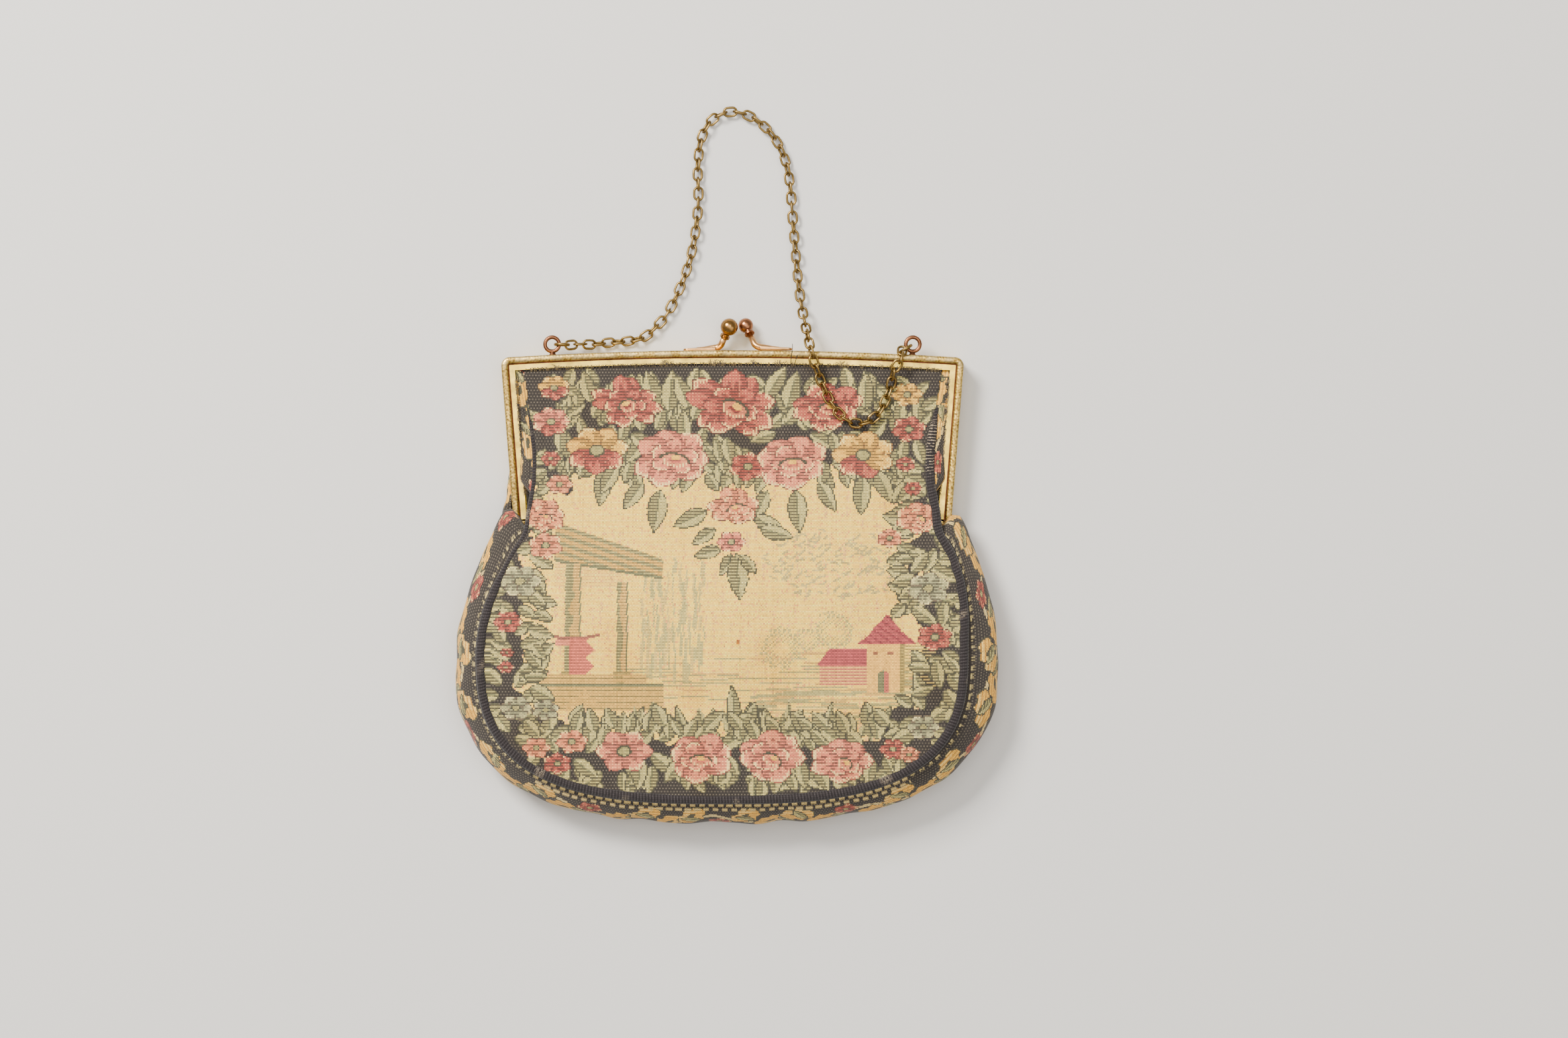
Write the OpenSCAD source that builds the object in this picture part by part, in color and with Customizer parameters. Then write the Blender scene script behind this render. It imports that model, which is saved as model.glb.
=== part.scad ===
// Tapestry purse with a gilt kiss-clasp frame and a carrying chain, lying on its back.
// X runs across the bag, Y from the bottom of the bag to the clasp, and Z up from the back panel.

/* [Bag] */
// Height from the bottom of the gusset to the top of the frame
bag_h = 164; // [158:1:172]
// Width over the gussets at the belly
bag_w = 184; // [178:1:190]
// Height of the front seam over the back seam at the belly
bag_d = 21; // [18:1:26]
// How far the middle of the front panel is puffed up
puff = 5; // [2:0.5:8]
// How far the gusset bulges past the seams
bulge = 9; // [6:0.5:11]
// Thickness of the tapestry cloth
cloth_t = 1.1; // [0.8:0.1:1.3]
// Diameter of the corded piping in the seams
piping_d = 3.4; // [2.6:0.2:3.8]
// Thickness of the lining
lining_t = 0.5; // [0.4:0.1:0.8]

/* [Frame] */
// Width of the frame over its top corners
frame_w = 161; // [157:1:166]
// Length of a leg from its corner to the hinge axis
leg_len = 57; // [54:1:60]
// Inward lean of the legs, in degrees
leg_lean = 4.5; // [3.5:0.5:5.5]
// Rise of the arched top bar
arch_rise = 2.6; // [1.6:0.2:3.6]
// Outer radius of the top corners
corner_r = 3; // [2.8:0.2:5]
// Depth of one half of the frame
half_d = 5.2; // [5:0.1:6]
// Width of the engraved rim
rim_w = 2.3; // [2:0.1:2.6]
// Thickness of the rim at its face
rim_t = 1.2; // [0.9:0.1:1.3]
// Thickness of the rim's wall
wall_t = 1; // [0.8:0.1:1.2]
// Width of the clamping flange that shows inside the rim
flange_w = 2.3; // [1.6:0.1:2.8]
// Thickness of the clamping flange
flange_t = 0.8; // [0.5:0.1:1]
// Gap between the two halves of the closed frame
close_gap = 0.3; // [0.2:0.05:0.6]

/* [Hinge] */
// Radius of the ears at the leg ends
ear_r = 2.6; // [2.2:0.1:2.8]
// Thickness of an ear
ear_t = 0.9; // [0.7:0.1:1]
// Diameter of the rivet's shank
rivet_d = 1.6; // [1.2:0.1:2]
// Diameter of the rivet's outer head
rivet_head_d = 3; // [2.6:0.1:3.6]
// Height of the rivet's outer head
rivet_head_h = 0.7; // [0.4:0.1:1]
// Running clearance of the rivet in the front ears
rivet_fit = 0.05; // [0.03:0.01:0.09]

/* [Clasp] */
// Diameter of the ball on the back half
back_ball_d = 6.1; // [5.5:0.1:6.5]
// Diameter of the ball on the front half
front_ball_d = 5.2; // [4.8:0.1:6]
// Gap between the two balls, seen from the front
ball_gap = 0.12; // [0.1:0.02:0.3]
// Height of the back ball's centre over the top bar
back_ball_rise = 8.2; // [7.6:0.1:9]
// Height of the front ball's centre over the top bar
front_ball_rise = 8.9; // [8:0.1:10]
// How far each ball leans past the closing plane
ball_cross = 1.5; // [1:0.1:2]
// Length of a clasp foot along the top bar
foot_l = 11.4; // [9:0.1:13]
// Height of a clasp foot
foot_h = 1.5; // [1.2:0.1:1.8]
// Width of a clasp foot
foot_w = 3.4; // [2.8:0.1:3.6]
// Diameter of the bent arms
arm_d = 2.3; // [1.8:0.1:2.5]
// Bend radius of the arms
arm_bend = 2.6; // [2:0.1:3]
// Place of the clasp along the top bar
clasp_x = 1.7; // [-5:0.1:5]

/* [Chain] */
// Distance of each chain eye from the frame's corner
eye_inset = 18; // [15:0.5:22]
// Outer diameter of the chain eyes
eye_d = 6.3; // [5.9:0.1:6.8]
// Wire diameter of the chain eyes
eye_wire = 1.4; // [1.2:0.1:1.5]
// Outer diameter of the jump rings
jump_d = 5.7; // [5.5:0.1:6]
// Wire diameter of the jump rings
jump_wire = 1.1; // [0.9:0.1:1.2]
// Length of a link
link_l = 5.3; // [5.2:0.05:5.4]
// Width of a link
link_w = 3.8; // [3.6:0.1:4]
// Wire diameter of a link
link_wire = 0.85; // [0.75:0.05:0.9]
// Distance from one link to the next
link_pitch = 3.4; // [3.35:0.05:3.45]

/* [Hidden] */
$fn = 64;

gilt = "#d9b765";
rose_gilt = "#b98a5a";
old_brass = "#8a7a4a";
cream_cloth = "#d8c49a";
dark_cloth = "#3b3632";
silk = "#c9b48a";

// Gaps: face to face in one body, between cloth and what it meets, and between wires that hang in each other.
seat = 0.03;
soft_gap = 0.2;
wire_gap = 0.05;

// Heights of the frame: the back rim rests on the table and the halves close at mid_z.
mid_z = half_d + close_gap / 2;
front_z = mid_z + close_gap / 2;
back_z = mid_z - close_gap / 2;
face_h = half_d - rim_t;
flange_h = face_h - seat - flange_t;

// Outline of the frame: an arched top bar, round corners and leaning legs.
top_y = bag_h / 2;
corner_y = top_y - arch_rise;
hinge_y = corner_y - leg_len;
arch_r = (pow(frame_w / 2, 2) + pow(arch_rise, 2)) / (2 * arch_rise);
arch_cy = top_y - arch_r;
leg_out = [cos(leg_lean), -sin(leg_lean)];
leg_down = [-sin(leg_lean), -cos(leg_lean)];
inner_inset = rim_w + flange_w;
tip_r = max(rim_w + 0.1, inner_inset / 2);
function leg_x(y) = frame_w / 2 - (corner_y - y) * tan(leg_lean);
function leg_in(y) = leg_x(y) - inner_inset / cos(leg_lean);
function arch_y(x) = arch_cy + sqrt(arch_r * arch_r - x * x);
// Where the leg and the top bar, both moved in by d, cross.
function corner_at(d) =
    let (from_arch = [frame_w / 2, corner_y] - d * leg_out - [0, arch_cy])
    let (along = from_arch * leg_down)
    let (s = -along - sqrt(along * along - from_arch * from_arch + pow(arch_r - d, 2)))
    [frame_w / 2, corner_y] - d * leg_out + s * leg_down;
corner_c = corner_at(corner_r);
arch_a = atan2(corner_c.y - arch_cy, corner_c.x);

// Cloth: seam line, height of the front face and bulge of the gusset.
piping_r = piping_d / 2;
back_seam_z = piping_r + seat;
front_seam_z = back_seam_z + bag_d;
panel_top_z = front_z + flange_h - soft_gap - cloth_t / 2;
belly_x = bag_w / 2 - bulge;
seam_bottom = bulge - bag_h / 2;
belly_y = hinge_y + 0.46 * (seam_bottom - hinge_y);
belly_power = 2.9;
front_spread = 1.8;
seam_steps = 2;
belly_steps = 13;
panel_edge = piping_r + soft_gap;
top_edge = 0.75 * inner_inset;

function smooth(u) = let (c = min(1, max(0, u))) c * c * (3 - 2 * c);
function mix(a, b, t) = a + (b - a) * t;
function catmull(a, b, c, d, t) =
    0.5 * (2 * b + (c - a) * t + (2 * a - 5 * b + 4 * c - d) * t * t + (3 * b - a - 3 * c + d) * t * t * t);
function spline(p, steps) =
    let (last = len(p) - 1)
    [for (i = [0:last - 1]) for (k = [0:steps - 1])
        catmull(p[max(0, i - 1)], p[i], p[i + 1], p[min(last, i + 2)], k / steps), p[last]];
function reversed(p) = [for (i = [len(p) - 1:-1:0]) p[i]];
function mirrored(p) = [for (q = reversed(p)) [-q.x, q.y]];

// Seam line of a panel, from the top right corner round the bottom to the top left corner.
function upper_seam(spread) =
    let (low_x = leg_in(hinge_y) - 2.4 + spread)
    [[leg_in(corner_y - 3.4) - 2.4, corner_y - 3.4],
     [leg_in(hinge_y + 38) - 3.7, hinge_y + 38],
     [leg_in(hinge_y + 24) - 4.6, hinge_y + 24],
     [leg_in(hinge_y + 13) - 4 + 0.2 * spread, hinge_y + 13],
     [leg_in(hinge_y + 3.5) - 2.8 + 0.8 * spread, hinge_y + 3.5],
     [low_x + 0.6, hinge_y - 4],
     [mix(low_x, belly_x, 0.4), mix(hinge_y, belly_y, 0.26)],
     [mix(low_x, belly_x, 0.74), mix(hinge_y, belly_y, 0.5)],
     [mix(low_x, belly_x, 0.94), mix(hinge_y, belly_y, 0.75)],
     [belly_x, belly_y]];
function lower_seam() =
    [for (i = [1:belly_steps]) let (a = 90 * smooth(i / belly_steps))
        [belly_x * pow(max(0, cos(a)), 2 / belly_power),
         belly_y - (belly_y - seam_bottom) * pow(sin(a), 2 / belly_power)]];
function right_seam(spread) = concat(spline(upper_seam(spread), seam_steps), lower_seam());
function seam(spread) =
    let (right = right_seam(spread))
    concat(right, [for (i = [1:len(right) - 1]) mirrored(right)[i]]);
// Outward direction of an open or closed line at point i.
function outward(p, i, closed) =
    let (n = len(p))
    let (a = closed ? p[(i + n - 1) % n] : p[max(0, i - 1)])
    let (b = closed ? p[(i + 1) % n] : p[min(n - 1, i + 1)])
    [a.y - b.y, b.x - a.x] / norm(b - a);

// Height of the middle of the cloth: the front rises from the frame to the belly,
// and the back lifts to its flange.
puff_top = corner_y - inner_inset;
front_rise_y = hinge_y + 36;
front_rise_l = 88;
back_rise_y = corner_y - 17;
back_rise_l = 12;
function puffed(x, y) = puff * max(0, 1 - pow(x / (bag_w / 2), 2))
    * sin(180 * min(1, max(0, (puff_top - y) / (puff_top - seam_bottom))));
function front_face_z(x, y) =
    mix(panel_top_z, front_seam_z, smooth((front_rise_y - y) / front_rise_l)) + puffed(x, y);
function back_face_z(y) =
    mix(cloth_t / 2, back_z - flange_h + soft_gap + cloth_t / 2, smooth((y - back_rise_y) / back_rise_l));
// Below the hinges the gusset bulges out, at the hinges it is pinched in,
// and above it tucks under the flange.
pinch = -1;
frame_tuck = 5;
tuck_y = hinge_y + 8;
tuck_l = 8;
belly_top = hinge_y - 6.4;
belly_l = 14;
function bulge_at(y) = y > hinge_y
    ? mix(pinch, frame_tuck, smooth((y - tuck_y) / tuck_l))
    : mix(pinch, bulge - cloth_t / 2, smooth((belly_top - y) / belly_l));

// Skin through rings of points that run anticlockwise about the way from the first to the last.
module loft(rings) {
    n = len(rings[0]);
    m = len(rings);
    sides = [for (i = [0:m - 2]) for (k = [0:n - 1]) let (a = i * n + k, b = i * n + (k + 1) % n)
        each [[a, a + n, b + n], [a, b + n, b]]];
    first = [for (k = [0:n - 1]) k];
    final = [for (k = [n - 1:-1:0]) (m - 1) * n + k];
    polyhedron(points = [for (ring = rings) each ring], faces = concat(sides, [first, final]), convexity = 8);
}

// Section of a rim: distance in from the outline, negative, against height over the closing plane.
rim_steps = 6;
tip_lip = 0.3;
function rim_section(wall_h) = reversed(concat(
    [[-wall_t, wall_h], [0, wall_h]],
    [for (i = [0:rim_steps]) let (a = 180 * i / rim_steps)
        [-rim_w / 2 + rim_w / 2 * cos(a), face_h + rim_t * (0.3 + 0.7 * sin(a))]],
    [[-rim_w, face_h], [-wall_t, face_h]]));

// Stations along the right half of a rim, each with a place, the outward angle and the wall's lower edge.
// The wall stops at y_end, and the face runs on round the tip of the leg.
function right_rim(y_end) =
    let (tip_c = [leg_x(hinge_y), hinge_y] - tip_r * leg_out)
    let (tip_h = face_h - tip_lip)
    concat(
        [for (i = [0:8]) let (a = -180 - leg_lean + 22.5 * i)
            [tip_c.x + tip_r * cos(a), tip_c.y + tip_r * sin(a), a, tip_h]],
        [[leg_x(y_end - seat), y_end - seat, -leg_lean, tip_h], [leg_x(y_end), y_end, -leg_lean, 0]],
        [for (i = [0:6]) let (a = mix(-leg_lean, arch_a, i / 6))
            [corner_c.x + corner_r * cos(a), corner_c.y + corner_r * sin(a), a, 0]],
        [for (i = [1:8]) let (a = mix(arch_a, 90, i / 8))
            [arch_r * cos(a), arch_cy + arch_r * sin(a), a, 0]]);

// One rim with its closing plane at z = 0 and its face up; the walls of its legs end at y_end.
module rim(y_end) {
    right = right_rim(y_end);
    left = [for (i = [len(right) - 2:-1:0]) let (q = right[i]) [-q.x, q.y, 180 - q[2], q[3]]];
    loft([for (q = concat(right, left)) [for (e = rim_section(q[3]))
        [q.x + e.x * cos(q[2]), q.y + e.x * sin(q[2]), e.y]]]);
}

// Clamping flange of one half: a flat strip behind the rim, mitred at the inner corners.
// Its legs are notched beside the ears, whose inner faces are at ear_face.
module flange(ear_face) {
    arch_steps = 24;
    out_d = wall_t + seat;
    out_r = corner_r - out_d;
    end_y = hinge_y + 0.7;
    leg_end = [leg_x(end_y), end_y];
    notch_x = ear_face - seat;
    notch_y = hinge_y + ear_root + seat;
    outer = concat([[notch_x, end_y], [notch_x, notch_y], [leg_x(notch_y) - out_d / cos(leg_lean), notch_y]],
        [for (i = [0:6]) let (a = mix(-leg_lean, arch_a, i / 6)) corner_c + out_r * [cos(a), sin(a)]]);
    inner = [leg_end - inner_inset * leg_out, corner_at(inner_inset)];
    inner_a = atan2(inner[1].y - arch_cy, inner[1].x);
    outer_bar = [for (i = [1:arch_steps - 1]) let (a = mix(arch_a, 180 - arch_a, i / arch_steps))
        [0, arch_cy] + (arch_r - out_d) * [cos(a), sin(a)]];
    inner_bar = [for (i = [1:arch_steps - 1]) let (a = mix(180 - inner_a, inner_a, i / arch_steps))
        [0, arch_cy] + (arch_r - inner_inset) * [cos(a), sin(a)]];
    translate([0, 0, flange_h]) linear_extrude(flange_t)
        polygon(concat(outer, outer_bar, mirrored(outer),
            mirrored(reversed(inner)), inner_bar, reversed(inner)));
}

// Hinge: the front ears lie outside, the back ears inside, and a rivet passes through both.
ear_gap = 0.1;
ear_x = leg_x(hinge_y) - 0.1;
back_ear_x = ear_x - ear_t - ear_gap;
ear_root = 6;
// The walls end clear of what turns at the hinge, and the back ears hold the rivet tight.
wall_clear = 0.4;
rivet_hold = 0.01;
module ear(x_out, root, hole_r) {
    reach = face_h + rim_t / 4;
    translate([x_out, hinge_y, 0]) rotate([0, -90, 0]) difference() {
        union() {
            cylinder(r = ear_r, h = ear_t);
            translate([0, -0.8 * ear_r, 0]) cube([reach, root + 0.8 * ear_r, ear_t]);
        }
        translate([0, 0, -1]) cylinder(r = hole_r, h = ear_t + 2);
    }
}

module front_rim() {
    color(gilt) translate([0, 0, front_z]) {
        rim(hinge_y + rivet_head_d / 2 + wall_clear);
        for (side = [0, 1]) mirror([side, 0, 0])
            translate([0, 0, -close_gap / 2]) ear(ear_x, ear_root, rivet_d / 2 + rivet_fit);
    }
}

module back_rim() {
    color(gilt) translate([0, 0, back_z]) mirror([0, 0, 1]) {
        rim(hinge_y + ear_r + wall_clear);
        for (side = [0, 1]) mirror([side, 0, 0])
            translate([0, 0, -close_gap / 2]) ear(back_ear_x, ear_root, rivet_d / 2 + rivet_hold);
    }
}

module front_flange() {
    color(gilt) translate([0, 0, front_z]) flange(ear_x - ear_t);
}

module back_flange() {
    color(gilt) translate([0, 0, back_z]) mirror([0, 0, 1]) flange(back_ear_x - ear_t);
}

// Rivet along X: a domed outer head, the shank and a small peened inner head.
module hinge_rivet() {
    grip = 2 * ear_t + ear_gap + 2 * seat;
    peen_d = rivet_d + 0.8;
    peen_h = 0.4;
    translate([ear_x + seat, hinge_y, mid_z]) rotate([0, 90, 0]) {
        rotate_extrude() intersection() {
            translate([0, rivet_head_h - rivet_head_d]) circle(r = rivet_head_d);
            square([rivet_head_d / 2, rivet_head_h]);
        }
        translate([0, 0, -grip - peen_h]) cylinder(d = rivet_d, h = grip + peen_h);
        translate([0, 0, -grip - peen_h]) cylinder(d = peen_d, h = peen_h);
    }
}

module left_hinge_rivet() {
    color(gilt) mirror([1, 0, 0]) hinge_rivet();
}

module right_hinge_rivet() {
    color(gilt) hinge_rivet();
}

// Kiss clasp: the arms lean across the closing plane so that the balls snap past each other.
ball_y_step = front_ball_rise - back_ball_rise;
ball_step = sqrt(pow((back_ball_d + front_ball_d) / 2 + ball_gap, 2) - ball_y_step * ball_y_step);
back_ball_x = clasp_x - ball_step / 2;
front_ball_x = clasp_x + ball_step / 2;
foot_z = half_d / 2;
arm_turn = 68;
collar_h = 1.3;
foot_y = top_y + seat;
arm_y = foot_y + arm_d / 2;

// Places the arm's own plane: its start on the top bar, with the ball leaning by ball_cross.
function arm_lean(rise) = atan2(foot_z + close_gap / 2 + ball_cross, top_y + rise - arm_y);
function arm_v(rise) = norm([foot_z + close_gap / 2 + ball_cross, top_y + rise - arm_y]);
function straight_run(rise) = (arm_v(rise) - arm_bend * (1 - cos(arm_turn))) / sin(arm_turn);
function arm_u(rise) = arm_bend * sin(arm_turn) + straight_run(rise) * cos(arm_turn);

// Arm of a clasp in its own plane, with the ball's centre at the origin of x.
module clasp_plane(rise) {
    translate([-arm_u(rise), arm_y, foot_z]) rotate([-arm_lean(rise), 0, 0]) children();
}

// Bent bar of a clasp, which grows out of its foot, as rings of [place along x, height, turn, radius].
arm_sides = 12;
arm_root = 4.5;
arm_swell = 1.8;
function arm_rings(stem) =
    let (bend_end = arm_bend * [sin(arm_turn), 1 - cos(arm_turn)])
    let (stem_end = bend_end + stem * [cos(arm_turn), sin(arm_turn)])
    concat(
        [[-arm_root, foot_h / 2 - arm_d / 2, 0, 0.4 * foot_h], [-arm_swell, -0.1 * arm_d, 0, 0.4 * arm_d]],
        [for (i = [0:6]) let (a = arm_turn * i / 6)
            [arm_bend * sin(a), arm_bend * (1 - cos(a)), a, arm_d / 2]],
        [[stem_end.x, stem_end.y, arm_turn, 0.9 * arm_d / 2]]);

module clasp_arm(rise, ball_d) {
    stem = straight_run(rise) - ball_d / 2 - collar_h - seat;
    end_x = -arm_u(rise) + 0.4;
    round_end = [for (i = [0:8]) let (a = 90 + 180 * i / 8)
        [foot_w / 2 * (1 + cos(a)), foot_w / 2 * sin(a)]];
    clasp_plane(rise) loft([for (q = arm_rings(stem)) [for (k = [0:arm_sides - 1])
        let (a = 360 * k / arm_sides)
        [q.x - q[3] * cos(a) * sin(q[2]), q.y + q[3] * cos(a) * cos(q[2]), q[3] * sin(a)]]]);
    translate([end_x - foot_l, foot_y + foot_h, foot_z]) rotate([90, 0, 0]) linear_extrude(foot_h)
        polygon(concat(round_end, [[foot_l, -foot_w / 2], [foot_l, foot_w / 2]]));
}

module clasp_ball(rise, ball_d) {
    stem = straight_run(rise) - ball_d / 2 - collar_h;
    collar_d = arm_d + 1.2;
    clasp_plane(rise) translate(arm_bend * [sin(arm_turn), 1 - cos(arm_turn), 0])
        rotate([0, 0, arm_turn]) rotate([0, 90, 0]) translate([0, 0, stem]) {
            cylinder(d = collar_d, h = collar_h / 2);
            cylinder(d = arm_d, h = collar_h + ball_d / 4);
            translate([0, 0, collar_h + ball_d / 2]) sphere(d = ball_d);
        }
}

module on_back_half() {
    translate([back_ball_x, 0, back_z]) mirror([0, 0, 1]) children();
}

module on_front_half() {
    translate([front_ball_x, 0, front_z]) mirror([1, 0, 0]) children();
}

module back_clasp_arm() {
    color(rose_gilt) on_back_half() clasp_arm(back_ball_rise, back_ball_d);
}

module back_clasp_ball() {
    color(rose_gilt) on_back_half() clasp_ball(back_ball_rise, back_ball_d);
}

module front_clasp_arm() {
    color(rose_gilt) on_front_half() clasp_arm(front_ball_rise, front_ball_d);
}

module front_clasp_ball() {
    color(rose_gilt) on_front_half() clasp_ball(front_ball_rise, front_ball_d);
}

// Chain eyes: wire rings that stand on flared feet on the front half's top bar.
eye_x = frame_w / 2 - eye_inset;
eye_r = (eye_d - eye_wire) / 2;
eye_neck = 0.55;
eye_lift = eye_d / 2 + eye_neck;
eye_z = front_z + half_d / 2;
eye_tilt = asin(eye_x / arch_r);
module at_eye(side) {
    translate([side * eye_x, arch_y(eye_x), eye_z]) rotate([0, 0, -side * eye_tilt]) children();
}

module chain_eye(side) {
    at_eye(side) {
        translate([0, eye_lift, 0]) rotate_extrude() translate([eye_r, 0]) circle(d = eye_wire);
        translate([0, seat, 0]) rotate([-90, 0, 0])
            cylinder(d1 = 1.8 * eye_wire, d2 = eye_wire, h = 0.8 * eye_wire);
    }
}

module left_chain_eye() {
    color(rose_gilt) chain_eye(-1);
}

module right_chain_eye() {
    color(rose_gilt) chain_eye(1);
}

// Jump rings: each leaves its eye at an angle round the eye and slopes down or up to the chain.
jump_r = (jump_d - jump_wire) / 2;
jump_hang = jump_r - jump_wire / 2 - eye_wire / 2 - wire_gap;
left_turn = -4;
left_slope = -25;
right_turn = 215;
right_slope = 52;
function about_z(p, a) = [p.x * cos(a) - p.y * sin(a), p.x * sin(a) + p.y * cos(a), p.z];
// Middle of a jump ring's wire at its far side, where the first link hangs.
function jump_end(side, turn, slope, extra) =
    let (run = jump_hang + jump_r + extra)
    let (local = about_z([eye_r + run * cos(slope), 0, run * sin(slope)], turn))
    about_z(local + [0, eye_lift, 0], -side * eye_tilt) + [side * eye_x, arch_y(eye_x), eye_z];
module jump_ring(side, turn, slope) {
    at_eye(side) translate([0, eye_lift, 0]) rotate([0, 0, turn]) translate([eye_r, 0, 0])
        rotate([0, -slope, 0]) translate([jump_hang, 0, 0]) rotate([90, 0, 0])
            rotate_extrude() translate([jump_r, 0]) circle(d = jump_wire);
}

module left_jump_ring() {
    color(old_brass) jump_ring(-1, left_turn, left_slope);
}

module right_jump_ring() {
    color(old_brass) jump_ring(1, right_turn, right_slope);
}

// Carrying chain: from the left eye down to the table, in an arch above the frame, over the rim,
// in a loop on the front panel and up to the right eye. Links cross at right angles and roll about.
// On the left the first link hangs in its ring;
// on the right the ring passes through the middle of the last link.
half_link = link_w / 2;
left_hook = link_l / 2 - link_wire - jump_wire / 2 - wire_gap;
right_hook = 0;
rim_rest = 0.15;
cloth_rest = 0.35;
rim_top_z = front_z + half_d;
table_z = half_link + wire_gap;
over_rim = rim_top_z + half_link + rim_rest;
function on_cloth(x, y) = [x, y, front_face_z(x, y) + cloth_t / 2 + half_link + cloth_rest];
chain_left = jump_end(-1, left_turn, left_slope, left_hook);
chain_right = jump_end(1, right_turn, right_slope, right_hook);
chain_route = [
    chain_left,
    chain_left + [3.6, 0.4, -1.7],
    [-eye_x + 13.5, top_y + 2.3, 3],
    [-eye_x + 19, top_y + 3, table_z],
    [-36.5, top_y + 3.6, table_z], [-31, top_y + 5, table_z], [-27, top_y + 8.4, table_z],
    [-23, top_y + 13, table_z], [-18.5, top_y + 22, table_z], [-15, top_y + 32, table_z],
    [-13, top_y + 42, table_z], [-12, top_y + 53, table_z], [-12.2, top_y + 64, table_z],
    [-11, top_y + 74, table_z], [-7.5, top_y + 80.5, table_z], [-1.5, top_y + 83.5, table_z],
    [5, top_y + 82.5, table_z], [11, top_y + 78.5, table_z], [15.5, top_y + 73, table_z],
    [18.5, top_y + 66, table_z], [20, top_y + 58, table_z], [20.8, top_y + 48, table_z],
    [21.8, top_y + 36, table_z], [22.8, top_y + 25, table_z], [23.9, top_y + 16.5, table_z + 0.5],
    [25.2, top_y + 9.5, 6.5],
    [26.3, top_y + 4.2, 10.6],
    [27.4, top_y - 0.8, over_rim + 0.2],
    [28.8, top_y - 5.6, over_rim - 0.3],
    on_cloth(31, top_y - 11.5), on_cloth(34, top_y - 18), on_cloth(38, top_y - 23),
    on_cloth(42, top_y - 25.2), on_cloth(eye_x - 16, top_y - 25), on_cloth(eye_x - 12, top_y - 22),
    on_cloth(eye_x - 9.3, top_y - 17), on_cloth(eye_x - 7.5, top_y - 11.8),
    [eye_x - 6.7, top_y - 7.4, over_rim + 0.1],
    [chain_right.x - 0.6, chain_right.y - 3.2, over_rim + 0.7],
    chain_right];
chain_pts = spline(chain_route, 10);
chain_last = len(chain_pts) - 1;
chain_s = [for (i = 0, s = 0; i <= chain_last;
    s = s + norm(chain_pts[min(i + 1, chain_last)] - chain_pts[i]), i = i + 1) s];
chain_x = [for (i = [0:chain_last]) [chain_s[i], chain_pts[i].x]];
chain_y = [for (i = [0:chain_last]) [chain_s[i], chain_pts[i].y]];
chain_z = [for (i = [0:chain_last]) [chain_s[i], chain_pts[i].z]];
function on_chain(s) = [lookup(s, chain_x), lookup(s, chain_y), lookup(s, chain_z)];
chain_len = chain_s[chain_last];
link_gaps = 2 * round(chain_len / link_pitch / 2);
link_step = chain_len / link_gaps;
roll_waves = 7;
roll_size = 24;

module link() {
    bend_r = (link_w - link_wire) / 2;
    run = link_l - link_w;
    for (end = [0, 180]) rotate([0, 0, end]) {
        translate([run / 2, 0, 0]) rotate([0, 0, -90])
            rotate_extrude(angle = 180) translate([bend_r, 0]) circle(d = link_wire);
        translate([-run / 2, bend_r, 0]) rotate([0, 90, 0]) cylinder(d = link_wire, h = run);
    }
}

module chain() {
    color(old_brass) for (i = [0:link_gaps]) {
        s = i * link_step;
        way = on_chain(s + link_step / 2) - on_chain(s - link_step / 2);
        rise = atan2(way.z, norm([way.x, way.y]));
        roll = 90 * (i % 2) + roll_size * sin(180 * roll_waves * s / chain_len);
        translate(on_chain(s)) rotate([roll, -rise, atan2(way.y, way.x)]) link();
    }
}

// Front and back panels: sheets whose edge stops at the piping and, at the top, behind the flange.
ring_shares = [0.04, 0.25, 0.45, 0.63, 0.79, 0.91, 1];
function panel_outline(spread) =
    let (line = seam(spread))
    let (sides = [for (i = [0:len(line) - 1]) line[i] - panel_edge * outward(line, i, false)])
    let (top_w = sides[0].x - 1)
    let (top = [for (i = [0:8]) let (x = mix(-top_w, top_w, i / 8)) [x, arch_y(x) - top_edge]])
    concat(sides, top);
panel_c = [0, mix(seam_bottom, top_y, 0.45)];

module front_panel() {
    outline = panel_outline(front_spread);
    function ring(share, lift) =
        [for (p = outline) let (q = panel_c + share * (p - panel_c))
            [q.x, q.y, front_face_z(q.x, q.y) + lift]];
    color(cream_cloth) loft(concat(
        [for (share = ring_shares) ring(share, cloth_t / 2)],
        [for (share = reversed(ring_shares)) ring(share, -cloth_t / 2)]));
}

module back_panel() {
    outline = panel_outline(0);
    function ring(share, lift) =
        [for (p = outline) let (q = panel_c + share * (p - panel_c)) [q.x, q.y, back_face_z(q.y) + lift]];
    color(cream_cloth) loft(concat(
        [for (share = ring_shares) ring(share, cloth_t / 2)],
        [for (share = reversed(ring_shares)) ring(share, -cloth_t / 2)]));
}

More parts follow.
